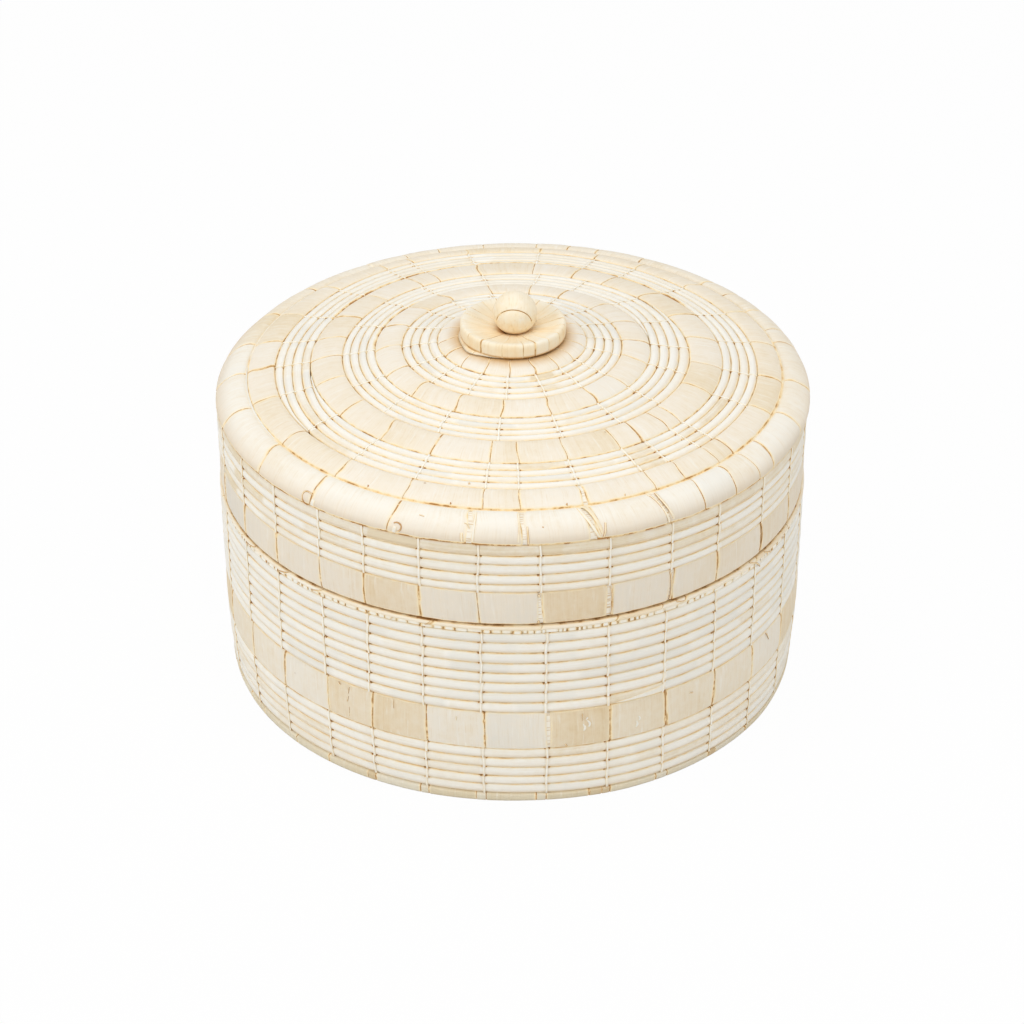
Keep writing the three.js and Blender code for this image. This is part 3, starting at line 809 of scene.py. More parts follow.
wood = Shader(bpy.data.materials.new("cane_wood"), Specular_IOR_Level=0.3)
wood_ring = wood.noise(wood.place(), (90.0, 90.0, 900.0), 4.0)
wood_color = wood.mix(wood_ring.smooth(0.3, 0.7), (0.62, 0.45, 0.26), (0.48, 0.32, 0.16))
wood_look = wood.finish(wood_color, 0.6 + 0.2 * wood_ring, 0.1 * wood_ring)


def wood_hoop(name, inner, outer, low, high, body, node):
    """A flat cane hoop: a cushion loop of a high power between two radii and two heights."""
    steps, around = 180, 28
    x, y = cushion(7.0, around)
    azimuth = np.linspace(0, TURN, steps, endpoint=False)[:, None]
    radius = (inner + outer) / 2 + (outer - inner) / 2 * x
    points = turned(radius, azimuth, (low + high) / 2 + (high - low) / 2 * y)[None]
    along = np.linspace(0, TURN * outer, steps + 1)[:, None]
    across = np.linspace(0, 2 * (outer - inner + high - low), around + 1)
    uv = together(along, across)[None] * MM
    add_piece(name, points, uv, {}, True, wood_look, body, [node])


wall_outline = upright_outline(wall_radius - 0.25, wall_inner, band_bottom, band_top)
wall_up = wall_outline[:, 1]
wall_side = 0.8 * fade(wall_up, band_top - 1.1, band_top)
wall_side = wall_side + 1.3 * fade(wall_up, band_bottom + 1.2, band_bottom)
wall_tints = {
    -55: 0.38, -43: 0.30, -32: 0.68, -22: 0.70, -11: 0.34, 1: 0.24, 12: 0.78, 24: 0.58, 36: 0.55, 48: 0.50,
}
wall_widths = {
    -60.7: 1.0, -49: 1.1, -37: 0.35, -27: 0.6, -16: 0.9, -5: 0.55, 6.8: 2.0, 18.5: 0.9, 30.1: 1.1,
    41.8: 1.1, 53.3: 0.5,
}
wound_band(
    "wall_band_leaf", wall_outline, wall_rows + 0.3, "box", ["wall_band_wrap"], 83,
    wound_leaf, upright=True, tints=wall_tints, widths=wall_widths, gaps=(0.3, 2.0), most=0.15, bulge=0.05,
    edges=(0.6, 1.6), side=wall_side,
)
wall_hoop = wall_inner + 0.8, 148.6, band_bottom + 0.9, band_top - 0.9
wood_hoop("wall_hoop", *wall_hoop, "box", "wall_band_hoop")

# Upper wall
# Eight more turns of the white coil, laced in line with the rows below. At the right of the
# front a new strip is let into the lowest turn as a long wedge.


def laid_strips(name, surface, strips, seed, material, body):
    """Narrow strips of leaf that lie on a surface, one tube each.

    A strip follows the smooth line through its points, given as (azimuth, run, width), where
    surface(run, lift) gives the radius and height. Its section is a flat cushion. After the
    points come its tint and how brown it is, most of all at its edges. Its ends tuck in by the
    eighth power of the way from its middle.
    """
    rng = np.random.default_rng(seed)
    steps, around = 17, 12
    share = np.linspace(0.0, 1.0, steps)
    x, y = cushion(3.0, around)
    places, uvs = [], []
    for path, _, _ in strips:
        control = np.array(path, float)
        powers = np.polyfit(np.linspace(0, 1, len(control)), control, len(control) - 1)
        line = np.vander(share, len(control)) @ powers
        middle = np.mean(surface(line[:, 1], 0.0)[0])
        line[:, 0] = np.radians(line[:, 0]) * middle
        along = np.gradient(line[:, :2], axis=0)
        along /= np.linalg.norm(along, axis=1, keepdims=True)
        across = together(-along[:, 1], along[:, 0])
        place = line[:, None, :2] + across[:, None] * (line[:, 2:, None] / 2 * x[None, :, None])
        lift = 0.22 + 0.2 * y - 0.5 * np.abs(2 * share - 1)[:, None] ** 8
        radius, height = surface(place[..., 1], lift)
        places.append(turned(radius, place[..., 0] / middle, height))
        length = np.linalg.norm(line[-1, :2] - line[0, :2])
        wide = line[:, 2:] * np.linspace(0, 1, around + 1) + rng.uniform(0, 900)
        uvs.append(together(wide, (share * length)[:, None]) * MM)
    tints, browns = (np.array([strip[k] for strip in strips])[:, None, None] for k in (1, 2))
    marks = {"tint": tints, "furrow": browns * (0.35 + fade(np.abs(x), 0.55, 0.95))}
    add_piece(name, np.stack(places), np.stack(uvs), marks, False, material, body, None)


upper_turns, upper_bottom = 8, 56.0
upper_segments = [(0, 18.2, 29.8, 0.92), (1, 30, 36.8, 0.15), (0, 6.5, 18.2, 0.55), (7, -27, -16, 0.2)]
coil_pieces(
    "wall_upper_strand", wall_coil_surface(upper_bottom), upper_turns, wall_pitch, 5.7, (150.0, 45.0),
    wall_rows - 0.3, 84, "box", ["wall_coil_upper"], segments=upper_segments,
)
wedge = [([(19.2, 57.0, 0.2), (24.5, 57.9, 2.2), (29.6, 58.7, 4.3)], 0.25, 0.5)]


def wall_surface(run, lift):
    """Radius and height on the wall, by height and by the lift off its crowns."""
    return wall_line(run) - 0.25 + lift, run


laid_strips("wall_splice", wall_surface, wedge, 85, strip_leaf, "box")

# Scars of the leaf
# Torn fibres and brown nicks lie on the wraps of the wall band, as thin flat patches. Brown
# ones also run down the edges of some strips, where their seams stand open.

scars = [
    ([(13.3, 43.5, 0.5), (13.6, 45.5, 1.3), (13.2, 47.5, 0.5)], 0.25, 0.3),
    ([(14.2, 45.5, 0.5), (14.5, 47.5, 1.2), (14.0, 49.5, 0.4)], 0.25, 0.2),
    ([(13.7, 50.0, 0.4), (14.1, 51.2, 0.9)], 0.25, 0.2),
    ([(23.7, 39.8, 0.5), (24.0, 41.5, 1.3), (23.8, 43.5, 0.5)], 0.25, 0.3),
    ([(24.3, 43.5, 0.5), (24.5, 44.8, 0.9), (24.2, 46.0, 0.4)], 0.25, 0.2),
    ([(13.2, 49.5, 0.5), (13.1, 53.5, 0.5)], 0.7, 2.0),
    ([(9.9, 36.6, 0.8), (10.3, 35.2, 0.6)], 0.2, 2.2),
    ([(35.4, 49.8, 0.5), (36.3, 48.9, 0.9)], 0.8, 1.6),
    ([(58.4, 55.0, 0.7), (59.6, 50.0, 0.6)], 0.9, 1.5),
    ([(-32.0, 54.4, 0.4), (-32.2, 50.6, 0.6)], 0.8, 1.3),
    ([(-32.2, 49.4, 0.5), (-32.5, 45.4, 0.7)], 0.8, 1.5),
    ([(-32.1, 43.2, 0.4), (-32.2, 36.4, 0.5)], 0.7, 1.1),
    ([(-22.6, 55.4, 0.4), (-22.5, 50.2, 0.5)], 0.8, 1.4),
    ([(-10.3, 52.4, 0.4), (-10.4, 49.8, 0.5)], 0.8, 1.0),
    ([(-34.4, 55.2, 0.7), (-33.9, 54.2, 0.5)], 0.8, 2.2),
]
laid_strips("wall_scars", wall_surface, scars, 86, strip_leaf, "box")

# Rim
# The top turn is a smooth roll wound with long strips of leaf. It stands out a little, as a
# ledge under the lid's skirt.

rim_corners = [
    (144.2, 101.8), (147.6, 101.75), (149.0, 102.1), (149.2, 103.2), (149.95, 103.95), (149.9, 104.8),
    (148.7, 105.4), (146, 105.4), (144.2, 105.3),
]
rim_outline = spline_loop(rim_corners, 36)
rim_rows = seam_list([-64, -48, -39, -15, 5, 19, 28, 33, 52], (66, 282, 16))
rim_leans = {-64: 4.5, -48: 4.5, -39: 4.0, -15: 1.5, 5: 1.2, 19: 2.0, 28: 2.5, 33: 2.5, 52: 4.0}
rim_stops = [
    (0.0, (0.93, 0.87, 0.75)),
    (0.4, (0.915, 0.82, 0.66)),
    (0.8, (0.86, 0.71, 0.49)),
    (1.0, (0.77, 0.58, 0.34)),
]
rim_leaf = leaf_look("rim_leaf", rim_stops, (34.0, 2000.0), gloss=0.4)
rim_across, rim_up = rim_outline.T
rim_low = fade(rim_up, 103.7, 103.3) * (rim_across > 146)
# Painted shadow: the rim's top, in the slit under the skirt's edge, is browned.
rim_slit_shadow = fade(rim_across, 149.5, 148.8) * (rim_up > 104.6)
wound_band(
    "rim_leaf_roll", rim_outline, rim_rows, "box", ["rim_coil"], 91, rim_leaf,
    upright=True, lean=1.6, leans=rim_leans, most=0.0, bulge=0.0, gaps=(0.3, 0.6), edges=(0.6, 1.3),
    side=0.95 * rim_low + rim_slit_shadow,
)

# Rim stitches
# Along the rim's lower edge its leaf is sewn down with short stitches of unequal length. Some
# are pale all over, and others have brown edges.

# Each stitch is a short tube that tapers at both ends and lies along the rim. Lengths and gaps
# are drawn at random and scaled to fill the turn.
stitches, stitch_radius, stitch_face, stitch_height = 205, 149.4, 149.1, 102.65
stitch_rng = np.random.default_rng(92)
stitch_long = stitch_rng.uniform(1.4, 6.5, stitches)
stitch_gap = stitch_rng.uniform(0.2, 0.6, stitches)
stitch_start = np.cumsum(stitch_long + stitch_gap) - stitch_long
stitch_scale = TURN * stitch_radius / (stitch_start[-1] + stitch_long[-1] + 0.6)
stitch_center = ((stitch_start + stitch_long / 2) * stitch_scale / stitch_radius)[:, None, None]
stitch_half = (stitch_long * stitch_scale / 2 / stitch_radius)[:, None, None]
x, y = cushion(4.0, 10)
stitch_along = np.array([-1.0, -0.93, -0.4, 0.4, 0.93, 1.0])[None, :, None]
stitch_taper = np.array([0.55, 1.0, 1.0, 1.0, 1.0, 0.55])[None, :, None]
stitch_rise = stitch_height + stitch_rng.normal(0, 0.15, (stitches, 1, 1)) + 0.8 * stitch_taper * x
stitch_place = stitch_center + stitch_half * stitch_along
stitch_points = turned(stitch_face + 0.35 * stitch_taper * y, stitch_place, stitch_rise)
stitch_uv = np.zeros((stitches, 6, 11, 2)) + stitch_rng.uniform(0, 1, (stitches, 1, 1, 1))
stitch_edges = np.array([1.0, 0.7, 0, 0, 0.7, 1.0])[None, :, None] + 0.5 * np.clip(np.abs(x) - 0.6, 0, 1)
stitch_marks = {
    "tint": stitch_rng.uniform(0, 1, (stitches, 1, 1)),
    "furrow": stitch_edges * stitch_rng.choice([0.6, 1.1, 1.7, 2.2], (stitches, 1, 1)),
}
add_piece(
    "rim_stitches", stitch_points, stitch_uv, stitch_marks, False, tie_leaf, "box", None
)

# Ends of leaf on the rim
# Where a new strip begins on the rim, its browned edge runs slantwise down from under the lid
# and is tucked in below the stitches.

rim_ends = [
    ([(-61.0, 103.0, 0.5), (-57.5, 105.3, 0.6)], 1.0, 1.5),
    ([(-49.4, 102.0, 0.8), (-48.6, 103.6, 0.7), (-46.6, 105.2, 0.5)], 1.0, 2.0),
    ([(-40.2, 102.2, 0.7), (-39.6, 103.6, 0.6), (-38.0, 105.0, 0.5)], 1.0, 1.9),
    ([(-44.0, 101.9, 0.9), (-43.2, 103.2, 0.7)], 1.0, 1.6),
    ([(-22.8, 102.0, 0.7), (-22.2, 103.6, 0.6)], 1.0, 1.6),
    ([(-16.0, 103.0, 0.5), (-15.0, 105.0, 0.5)], 1.0, 1.4),
    ([(31.6, 105.2, 0.5), (33.4, 104.2, 0.5)], 1.0, 1.8),
    ([(50.8, 105.4, 0.5), (53.0, 103.0, 0.8), (54.4, 99.4, 0.5)], 1.0, 2.0),
    ([(55.8, 105.2, 0.5), (58.4, 102.4, 0.7)], 1.0, 1.7),
]


def rim_surface(run, lift):
    """Radius and height on the rim's face and the coil below it."""
    face = ramp(run, (98, 149.7), (102, 149.5), (103.2, 149.5), (104, 149.9), (105, 149.85), (105.6, 149.2))
    return face + lift, run


laid_strips("rim_leaf_ends", rim_surface, rim_ends, 93, rim_leaf, "box")

# Inner collar
# A thin hoop wound with leaf stands inside the wall, laced to it, and reaches up into the lid.
# The lid's skirt slides over it and is held by it.

collar_outer, collar_inner, collar_low, collar_high = 143.65, 141.1, 85.75, 117.65
collar_outline = upright_outline(collar_outer, collar_inner, collar_low, collar_high, 40, 0.1)
wound_band(
    "collar_leaf", collar_outline, wall_rows + 5.0, "box", ["inner_collar"], 95, wound_leaf,
    upright=True, most=0.03, bulge=0.0, gaps=(0.2, 0.8), tint=0.42,
)

# Skirt band
# The lid's lowest ring is a flat hoop wound like the wall's, in paler and greyer leaf. At three
# seams in front its gaps stand open, and the bound core shows.

skirt_radius, skirt_inner = 149.4, 144.6
skirt_low, skirt_high = 106.05, 124.1
skirt_front = [-61.8, -49.8, -38.0, -28.0, -17.0, -6.1, 5.1, 17.9, 30.4, 41.3, 54.4]
skirt_rows = seam_list(skirt_front, (66.5, 286, 19))
skirt_tints = {
    -55: 0.3, -44: 0.3, -33: 0.3, -22: 0.62, -11: 0.24, -0.6: 0.24, 12: 0.70, 24: 0.26, 36: 0.36,
    48: 0.36,
}
skirt_widths = {
    -61.8: 0.9, -49.8: 0.9, -38: 0.6, -28: 0.55, -17: 0.75, -6.1: 0.5, 4.8: 2.2, 17.6: 3.0, 29.9: 2.3,
    41.3: 0.9, 54.4: 1.1,
}
skirt_outline = upright_outline(skirt_radius - 0.15, skirt_inner, skirt_low, skirt_high)
skirt_up = skirt_outline[:, 1]
skirt_side = 0.8 * fade(skirt_up, skirt_high - 1.0, skirt_high)
skirt_side = skirt_side + 1.6 * fade(skirt_up, skirt_low + 1.1, skirt_low + 0.3)
# The whole band carries a light painted shade (shade=0.13).
wound_band(
    "skirt_band_leaf", skirt_outline, skirt_rows, "lid", ["skirt_band_wrap"], 101, wound_leaf,
    upright=True, tints=skirt_tints, widths=skirt_widths, gaps=(0.3, 2.2), most=0.1, bulge=0.04,
    edges=(0.6, 1.6), side=skirt_side, shade=0.13,
)
skirt_hoop = skirt_inner + 0.8, 148.2, skirt_low + 1.0, skirt_high - 0.9
wood_hoop("skirt_hoop", *skirt_hoop, "lid", "skirt_band_hoop")

# Edges of leaf on the skirt
# Beside the wide gaps of the skirt band the strips' edges are browned and frayed. Thin slips
# of the same leaf show this, laid along the edges.


def skirt_face(run, lift):
    """Radius and height on the skirt band's face."""
    return skirt_radius - 0.25 + lift, run


skirt_edges = [
    ([(18.1, 123.0, 0.5), (18.5, 115.0, 0.7), (18.2, 107.2, 0.5)], 1.0, 2.0),
    ([(30.1, 123.2, 0.8), (30.5, 115.0, 0.9), (30.1, 107.4, 0.7)], 1.0, 1.8),
    ([(4.8, 123.2, 1.0), (5.0, 121.6, 0.9)], 0.9, 2.2),
    ([(4.8, 108.3, 0.9), (4.9, 107.0, 0.9)], 0.9, 2.2),
    ([(54.3, 123.2, 0.8), (54.7, 115.0, 0.7), (53.9, 108.0, 0.4)], 1.0, 1.6),
]
laid_strips("skirt_leaf_edges", skirt_face, skirt_edges, 102, wound_leaf, "lid")

# Skirt coil
# Five flat turns of thin coil are laced to one another above the band. The topmost is taller,
# greyer and yellower than the rest, partly as painted shade under the shoulder roll.

skirt_turns, skirt_pitch = 5, 5.3
skirt_offsets = [0.0, -0.75, -0.5, -0.45, -0.85, 0.0]
# Row 4 is the topmost turn: painted darker and yellower, partly as painted shade under the shoulder roll;
# its short tan stretches are the leaf's own colour.
skirt_segments = [
    (4, -62, -27, 0.86), (4, -27, -17, 1.25), (4, -17, 5, 0.9), (4, 5, 9, 1.2), (4, 9, 298, 0.92),
]


def skirt_surface(across, depth):
    """Radius and height on the skirt's upright side."""
    return skirt_radius - depth, skirt_high + across


coil_pieces(
    "skirt_strand", skirt_surface, skirt_turns, skirt_pitch, 4.6, climb_at_back, skirt_rows, 103, "lid",
    ["skirt_coil"], crown=1.5, segments=skirt_segments, offsets=skirt_offsets, tint=0.6,
)

# Shoulder
# A fat roll turns the lid's top over into the skirt. Its broad strips leave gaps of up to three
# millimetres, where the core shows, and narrow ends of leaf are tucked across them.


def outline_surface(outline):
    """Radius and height by the run along an outline from its first point, and the lift off it."""
    normal, run = outward(outline), run_along(outline)

    def surface(place, lift):
        """The outline's point there, moved along its normal."""
        pairs = zip(on_line(place, run, outline), on_line(place, run, normal))
        return tuple(here + lift * away for here, away in pairs)

    return surface


shoulder_rows = seam_list(
    [-87.5, -73, -55.5, -40, -22.5, -7.8, 2, 14.5, 29, 38, 46, 52.5, 58, 71, 85, 101.5, 107.5, 116.5],
    [125, 132, 150, 160.5, 167, 174.5, 186.5, 197, 205, 214, 231, 245, 259.5],
)
shoulder_corners = [
    (134.6, 158.2), (135.2, 160.1), (138.3, 160.75), (142.5, 159.8), (146.4, 157.7), (148.9, 155.0),
    (149.6, 152.4), (148.9, 150.8), (146, 150.7), (144.7, 151.0), (141.2, 153.9), (136, 156.3),
]
shoulder_outline = spline_loop(shoulder_corners, 48)
shoulder_across, shoulder_up = shoulder_outline.T
shoulder_side = fade(shoulder_across, 136.0, 134.8) * (shoulder_up > 158)
shoulder_side = shoulder_side + 1.7 * fade(shoulder_up, 152.1, 151.6) * (shoulder_across > 147)
shoulder_shade = fade(shoulder_up, 159.5, 152.5) * (shoulder_across > 142)
shoulder_stops = [
    (0.0, (0.86, 0.835, 0.765)),
    (0.35, (0.905, 0.86, 0.765)),
    (0.6, (0.87, 0.79, 0.65)),
    (0.85, (0.81, 0.69, 0.49)),
    (1.0, (0.74, 0.57, 0.34)),
]
shoulder_leaf = leaf_look("shoulder_leaf", shoulder_stops)
shoulder_widths = {
    -87.5: 0.5, -73: 0.7, -55.5: 0.6, -40: 0.9, -22.5: 0.9, -7.8: 2.7, 2: 2.8, 14.5: 4.2, 29: 2.4, 38: 0.6,
    46: 0.7, 52.5: 0.5, 58: 0.6, 71: 0.5, 85: 0.6,
}
# Painted shade: towards its lower edge the roll darkens and greys, by shoulder_shade in the shade mark and
# in the added tint.
wound_band(
    "shoulder_leaf_roll", shoulder_outline, shoulder_rows, "lid", ["lid_shoulder_roll"], 105,
    shoulder_leaf, gaps=(0.4, 2.0), widths=shoulder_widths, lean=0.6, waver=0.3, swirl=0.8,
    leans={-7.8: 0.2, 2: 0.3, 14.5: 0.9, 29: 1.2}, most=0.25, bulge=0.2, side=0.8 * shoulder_side,
    shade=0.46 * shoulder_shade, painted_light=-0.25 * shoulder_shade, tint=0.34, spread=0.10,
    tints={place: 0.58 for place in range(90, 246, 8)} | {-80: 0.45, -64: 0.4, 77: 0.5, 252: 0.75},
    edges=(0.35, 1.2),
)
shoulder_ends = [
    ([(-8.9, 12.0, 0.4), (-8.1, 12.8, 0.5), (-7.8, 14.6, 0.4)], 1.0, 1.6),
    ([(-9.1, 16.6, 1.3), (-8.9, 21.0, 1.3)], 0.55, 1.2),
    ([(-7.0, 3.2, 0.9), (-6.9, 12.0, 1.1), (-7.1, 21.2, 1.0)], 0.2, 0.7),
    ([(1.2, 3.4, 0.8), (1.3, 12.0, 0.8), (1.1, 21.0, 0.7)], 0.45, 0.9),
    ([(2.8, 12.5, 0.7), (2.9, 21.4, 0.9)], 0.7, 1.4),
    ([(12.8, 2.6, 1.6), (13.9, 11.0, 1.6), (15.9, 21.4, 1.3)], 0.3, 0.8),
    ([(14.1, 2.6, 2.6), (15.2, 9.0, 2.2), (16.5, 20.8, 1.0)], 0.7, 0.9),
    ([(17.2, 14.0, 0.9), (16.9, 18.0, 1.0), (16.4, 21.2, 0.9)], 0.35, 1.2),
    ([(27.4, 2.8, 1.0), (28.3, 9.0, 1.0), (29.5, 21.2, 1.0)], 0.35, 1.2),
    ([(29.4, 3.4, 1.2), (29.4, 10.0, 1.2), (30.6, 20.8, 1.1)], 0.5, 1.0),
    ([(-21.9, 17.2, 0.6), (-20.8, 16.6, 0.7), (-20.2, 18.4, 0.7), (-21.2, 20.8, 0.6)], 0.7, 2.6),
    ([(-38.9, 17.0, 0.6), (-41.6, 16.6, 0.8), (-41.3, 20.6, 0.8), (-39.6, 21.0, 0.6)], 0.7, 2.6),
    ([(-39.0, 18.0, 2.2), (-39.1, 21.2, 2.4)], 0.15, 0.6),
    ([(-21.4, 18.2, 1.8), (-21.6, 21.3, 2.0)], 0.15, 0.6),
    ([(-17.6, 10.6, 0.5), (-16.4, 11.2, 0.6)], 0.8, 2.0),
    ([(5.5, 13.2, 0.5), (5.8, 13.9, 0.6)], 0.8, 3.0),
]
laid_strips(
    "shoulder_leaf_ends", outline_surface(shoulder_outline), shoulder_ends, 106, shoulder_leaf, "lid",
)

# Seam inside the shoulder
# Golden fibre fills the groove between the shoulder and the lid's outer band, and two slips of
# leaf lie in it, a white one at the left and a yellow one behind it.

seam_radius, seam_top, seam_steps, seam_around = 134.8, 160.15, 240, 12
x, y = cushion(4.0, seam_around)
seam_azimuth = np.linspace(0, TURN, seam_steps, endpoint=False)[:, None]
seam_points = turned(seam_radius + 1.0 * x, seam_azimuth, seam_top - 0.9 + 0.9 * y)[None]
seam_run = np.linspace(0, 0.85, seam_steps + 1)[:, None]
seam_uv = together(seam_run, np.linspace(0, 0.006, seam_around + 1))[None]
seam_marks = {"tint": 0.8, "furrow": 0.85}
add_piece(
    "shoulder_seam_fibre", seam_points, seam_uv, seam_marks, True, strip_leaf, "lid", None
)


def seam_surface(radius, lift):
    """Radius and height on the fibre in the seam."""
    return radius, seam_top - 0.1 + lift


seam_slips = [
    ([(-92, 134.8, 0.6), (-76, 134.9, 1.2), (-58, 134.8, 0.6)], 0.0, 0.2),
    ([(200, 134.7, 0.7), (235, 134.7, 1.0), (268, 134.8, 0.6)], 0.5, 0.6),
]
laid_strips("shoulder_seam_slips", seam_surface, seam_slips, 107, strip_leaf, "lid")

# Lid top
# Padded bands wound crosswise with leaf and groups of four thin coil turns take turns from the
# shoulder to the middle, over a shallow cone.

shoulder_top, shoulder_inner, lid_slope, lid_sag = 160.85, 134.3, 0.131, 0.00022
lid_thickness, coil_crown, band_crown = 4.4, 0.6, 1.3


def lid_line(radius):
    """The height of the furrows: a cone's slope and a square sag towards the edge."""
    return shoulder_top + lid_slope * (shoulder_inner - radius) + lid_sag * (shoulder_inner**2 - radius**2)


lid_stops = [
    (0.0, (0.85, 0.81, 0.725)),
    (0.35, (0.885, 0.815, 0.70)),
    (0.6, (0.86, 0.765, 0.61)),
    (0.85, (0.80, 0.67, 0.46)),
    (1.0, (0.73, 0.56, 0.33)),
]
lid_leaf = leaf_look("lid_leaf", lid_stops)
band_seams = [inner_rows + 2.0, inner_rows, outer_rows, outer_rows]
band_tints = [
    {},
    {},
    {-2: 0.62, 34: 0.5, 50: 0.55, 77: 0.68, 182: 0.58, 252: 0.6},
    {place: 0.56 for place in range(92, 240, 12)}
    | {-2: 0.5, 34: 0.45, 50: 0.64, 61: 0.42, 77: 0.7, 182: 0.7, 252: 0.7, 237: 0.55},
]
for index, width in enumerate(band_widths):
    outline = padded_outline(band_inner[index], width, lid_line, -lid_thickness, band_crown, 2.4)
    # Painted shadow of the saucer: the bands darken towards the knob.
    knob_shadow = fade(outline[:, 0], 33.5, 27.0)
    node = f"lid_band_{index + 1}"
    wound_band(
        f"{node}_leaf", outline, band_seams[index], "lid", [node], 110 + index, lid_leaf,
        gaps=(0.35, 1.2), widths={15: 2.3} if index == 3 else {}, most=0.25, bulge=0.15, spread=0.09,
        swirl=1.1, waver=0.35, halo=0.12, shade=knob_shadow, tints=band_tints[index], brim=1.2,
        edges=(0.5, 1.35), tint=(0.4, 0.42, 0.5, 0.44)[index],
    )

coil_climbs = [(180.0, 45.0), (90.0, 45.0), (270.0, 45.0)]
coil_rows = [inner_rows + 1.0, inner_rows - 0.5, outer_rows]
coil_patches = [
    [],
    [(136, 170, 0.58), (170, 191, 0.68), (191, 228, 0.6)],
    [
        (30, 37.5, 0.88), (-6, 1.5, 0.6), (118, 147, 0.62), (147, 172, 0.76), (172, 186, 0.68),
        (197, 213, 0.74), (213, 242, 0.62),
    ],
]
coil_bared = [[], [(0, 222, 272, 0.9)], [(0, 122, 246, 1.05)]]
for index in range(3):
    segments = [(row, *patch) for row in range(coil_turns) for patch in coil_patches[index]]
    if index == 2:
        segments = segments + [(row, 47.5, 52.5, 0.8) for row in (1, 2, 3)]
        segments = segments + [(row, 191, 197, 0.85) for row in (0, 1, 2)]
    surface = ring_surface(coil_inner[index], lid_line, coil_crown)
    node = f"lid_coil_{index + 1}"
    coil_pieces(
        f"{node}_strand", surface, coil_turns, coil_pitch, lid_thickness + coil_crown, coil_climbs[index],
        coil_rows[index], 120 + index, "lid", [node], crown=1.5, holes=(0.4, 0.85, 1.3), pinch=0.12,
        under=1.0, tint=0.43, spread=0.2, segments=segments, bared=coil_bared[index], shade=0.42,
        tie_width=0.9, tie_lift=0.06, tie_sides=0.6,
    )


def lid_top(radius, lift):
    """Radius and height on the lid's crowns, by radius and by the lift off them."""
    return radius, lid_line(radius) + band_crown - 0.9 + lift


lid_marks = [
    ([(-30.9, 132.6, 0.5), (-30.5, 133.8, 0.8)], 0.8, 3.0),
    ([(-12.5, 132.8, 0.5), (-12.4, 133.8, 0.7)], 0.8, 3.0),
    ([(-2.4, 131.2, 0.5), (-2.2, 132.6, 0.8)], 0.8, 3.0),
    ([(11.2, 132.6, 0.5), (11.0, 133.9, 0.8)], 0.8, 3.0),
    ([(24.3, 130.6, 0.6), (23.2, 133.8, 0.8)], 0.8, 2.4),
    ([(-9.9, 118.4, 0.5), (-9.7, 119.6, 0.8)], 0.8, 3.0),
]
laid_strips("lid_marks", lid_top, lid_marks, 128, strip_leaf, "lid")

# Lid button
# Under the knob the lid starts with a wound disc, bored through its middle for the knob's stem.
# Its leaf is painted a deep golden brown, as painted shadow under the saucer, and little of it
# shows round the spacer.

button_low = lid_line(button_radius) - lid_thickness
button_high = lid_line(27.2) + band_crown - 0.1
button_edge, button_bore = 178.4, 2.5
button_corners = [
    (button_bore, button_low + 0.3), (2.9, button_low), (23.0, button_low), (23.6, button_low + 0.8),
    (23.6, button_edge), (21.5, button_high), (2.9, button_high), (button_bore, button_high - 0.3),
]
# The button lies under the saucer: its deep golden brown leaf and full shade are painted shadow.
button_shadow_stops = [(0.0, (0.93, 0.66, 0.30)), (1.0, (0.88, 0.58, 0.24))]
button_shadow_leaf = leaf_look("button_shadow_leaf", button_shadow_stops)
wound_band(
    "lid_button_leaf", spline_loop(button_corners, 40), inner_rows + 7.0, "lid",
    ["lid_center_button"], 130, button_shadow_leaf,
    gaps=(0.1, 0.4), most=0.05, bulge=0.0, side=0.0, shade=1.0,
)

# Saucer
# The knob's bead sits in a saucer: a round board covered with golden leaf, which is wound through
# the hole in its middle. A thin spacer keeps it off the lid.

knob_gap, spacer_height, saucer_height = 0.3, 0.8, 6.9
spacer_low = button_high + 0.1 + knob_gap
saucer_low = spacer_low + spacer_height + knob_gap
saucer_high = saucer_low + saucer_height
knob_stops = [
    (0.0, (0.92, 0.855, 0.715)),
    (0.4, (0.925, 0.81, 0.605)),
    (0.75, (0.91, 0.73, 0.47)),
    (1.0, (0.84, 0.60, 0.33)),
]
knob_leaf = leaf_look("knob_leaf", knob_stops, gloss=0.42, flecks=0.3, contrast=1.35)


def shifted(piece, x, y=0.0, corner=0.0):
    """Moves a piece's points sideways, so that the object itself stays at the origin.

    A corner draws the outline out at the left of the front by that share, as a bell curve.
    """
    corner_azimuth, corner_width = -47, 14
    place = np.empty(len(piece.data.vertices) * 3, np.float32)
    piece.data.vertices.foreach_get("co", place)
    place = place.reshape(-1, 3)
    side = np.degrees(np.arctan2(place[:, 0], -place[:, 1]))
    place[:, :2] *= 1 + corner * np.exp(-(((side[:, None] - corner_azimuth) / corner_width) ** 2))
    place = place + np.array([x, y, 0.0], np.float32) * MM
    piece.data.vertices.foreach_set("co", place.ravel())


saucer_corners = [
    (4.9, saucer_low + 0.4), (9, saucer_low), (25.2, saucer_low - 0.3), (26.2, saucer_low + 0.4),
    (26.5, saucer_low + 3.4), (26.4, saucer_high - 1.3), (25.7, saucer_high - 0.2),
    (24.2, saucer_high - 0.3), (17, saucer_low + 4.6), (8, saucer_low + 2.6), (5.2, saucer_low + 1.3),
]
saucer_outline = spline_loop(saucer_corners, 56)
saucer_rows = seam_list([-72, -58, -36, -10, 10.8, 25, 44, 62], (80, 270, 12))
# Painted light over the saucer's section: whiter along the top bevel as a painted highlight, more golden
# towards the bead as painted shade.
saucer_light_steps = (6, 0.4), (14, 0.2), (22, 0.0), (25, -0.32), (26.2, 0.0), (26.5, 0.1)
saucer_painted_light = ramp(saucer_outline[:, 0], *saucer_light_steps)
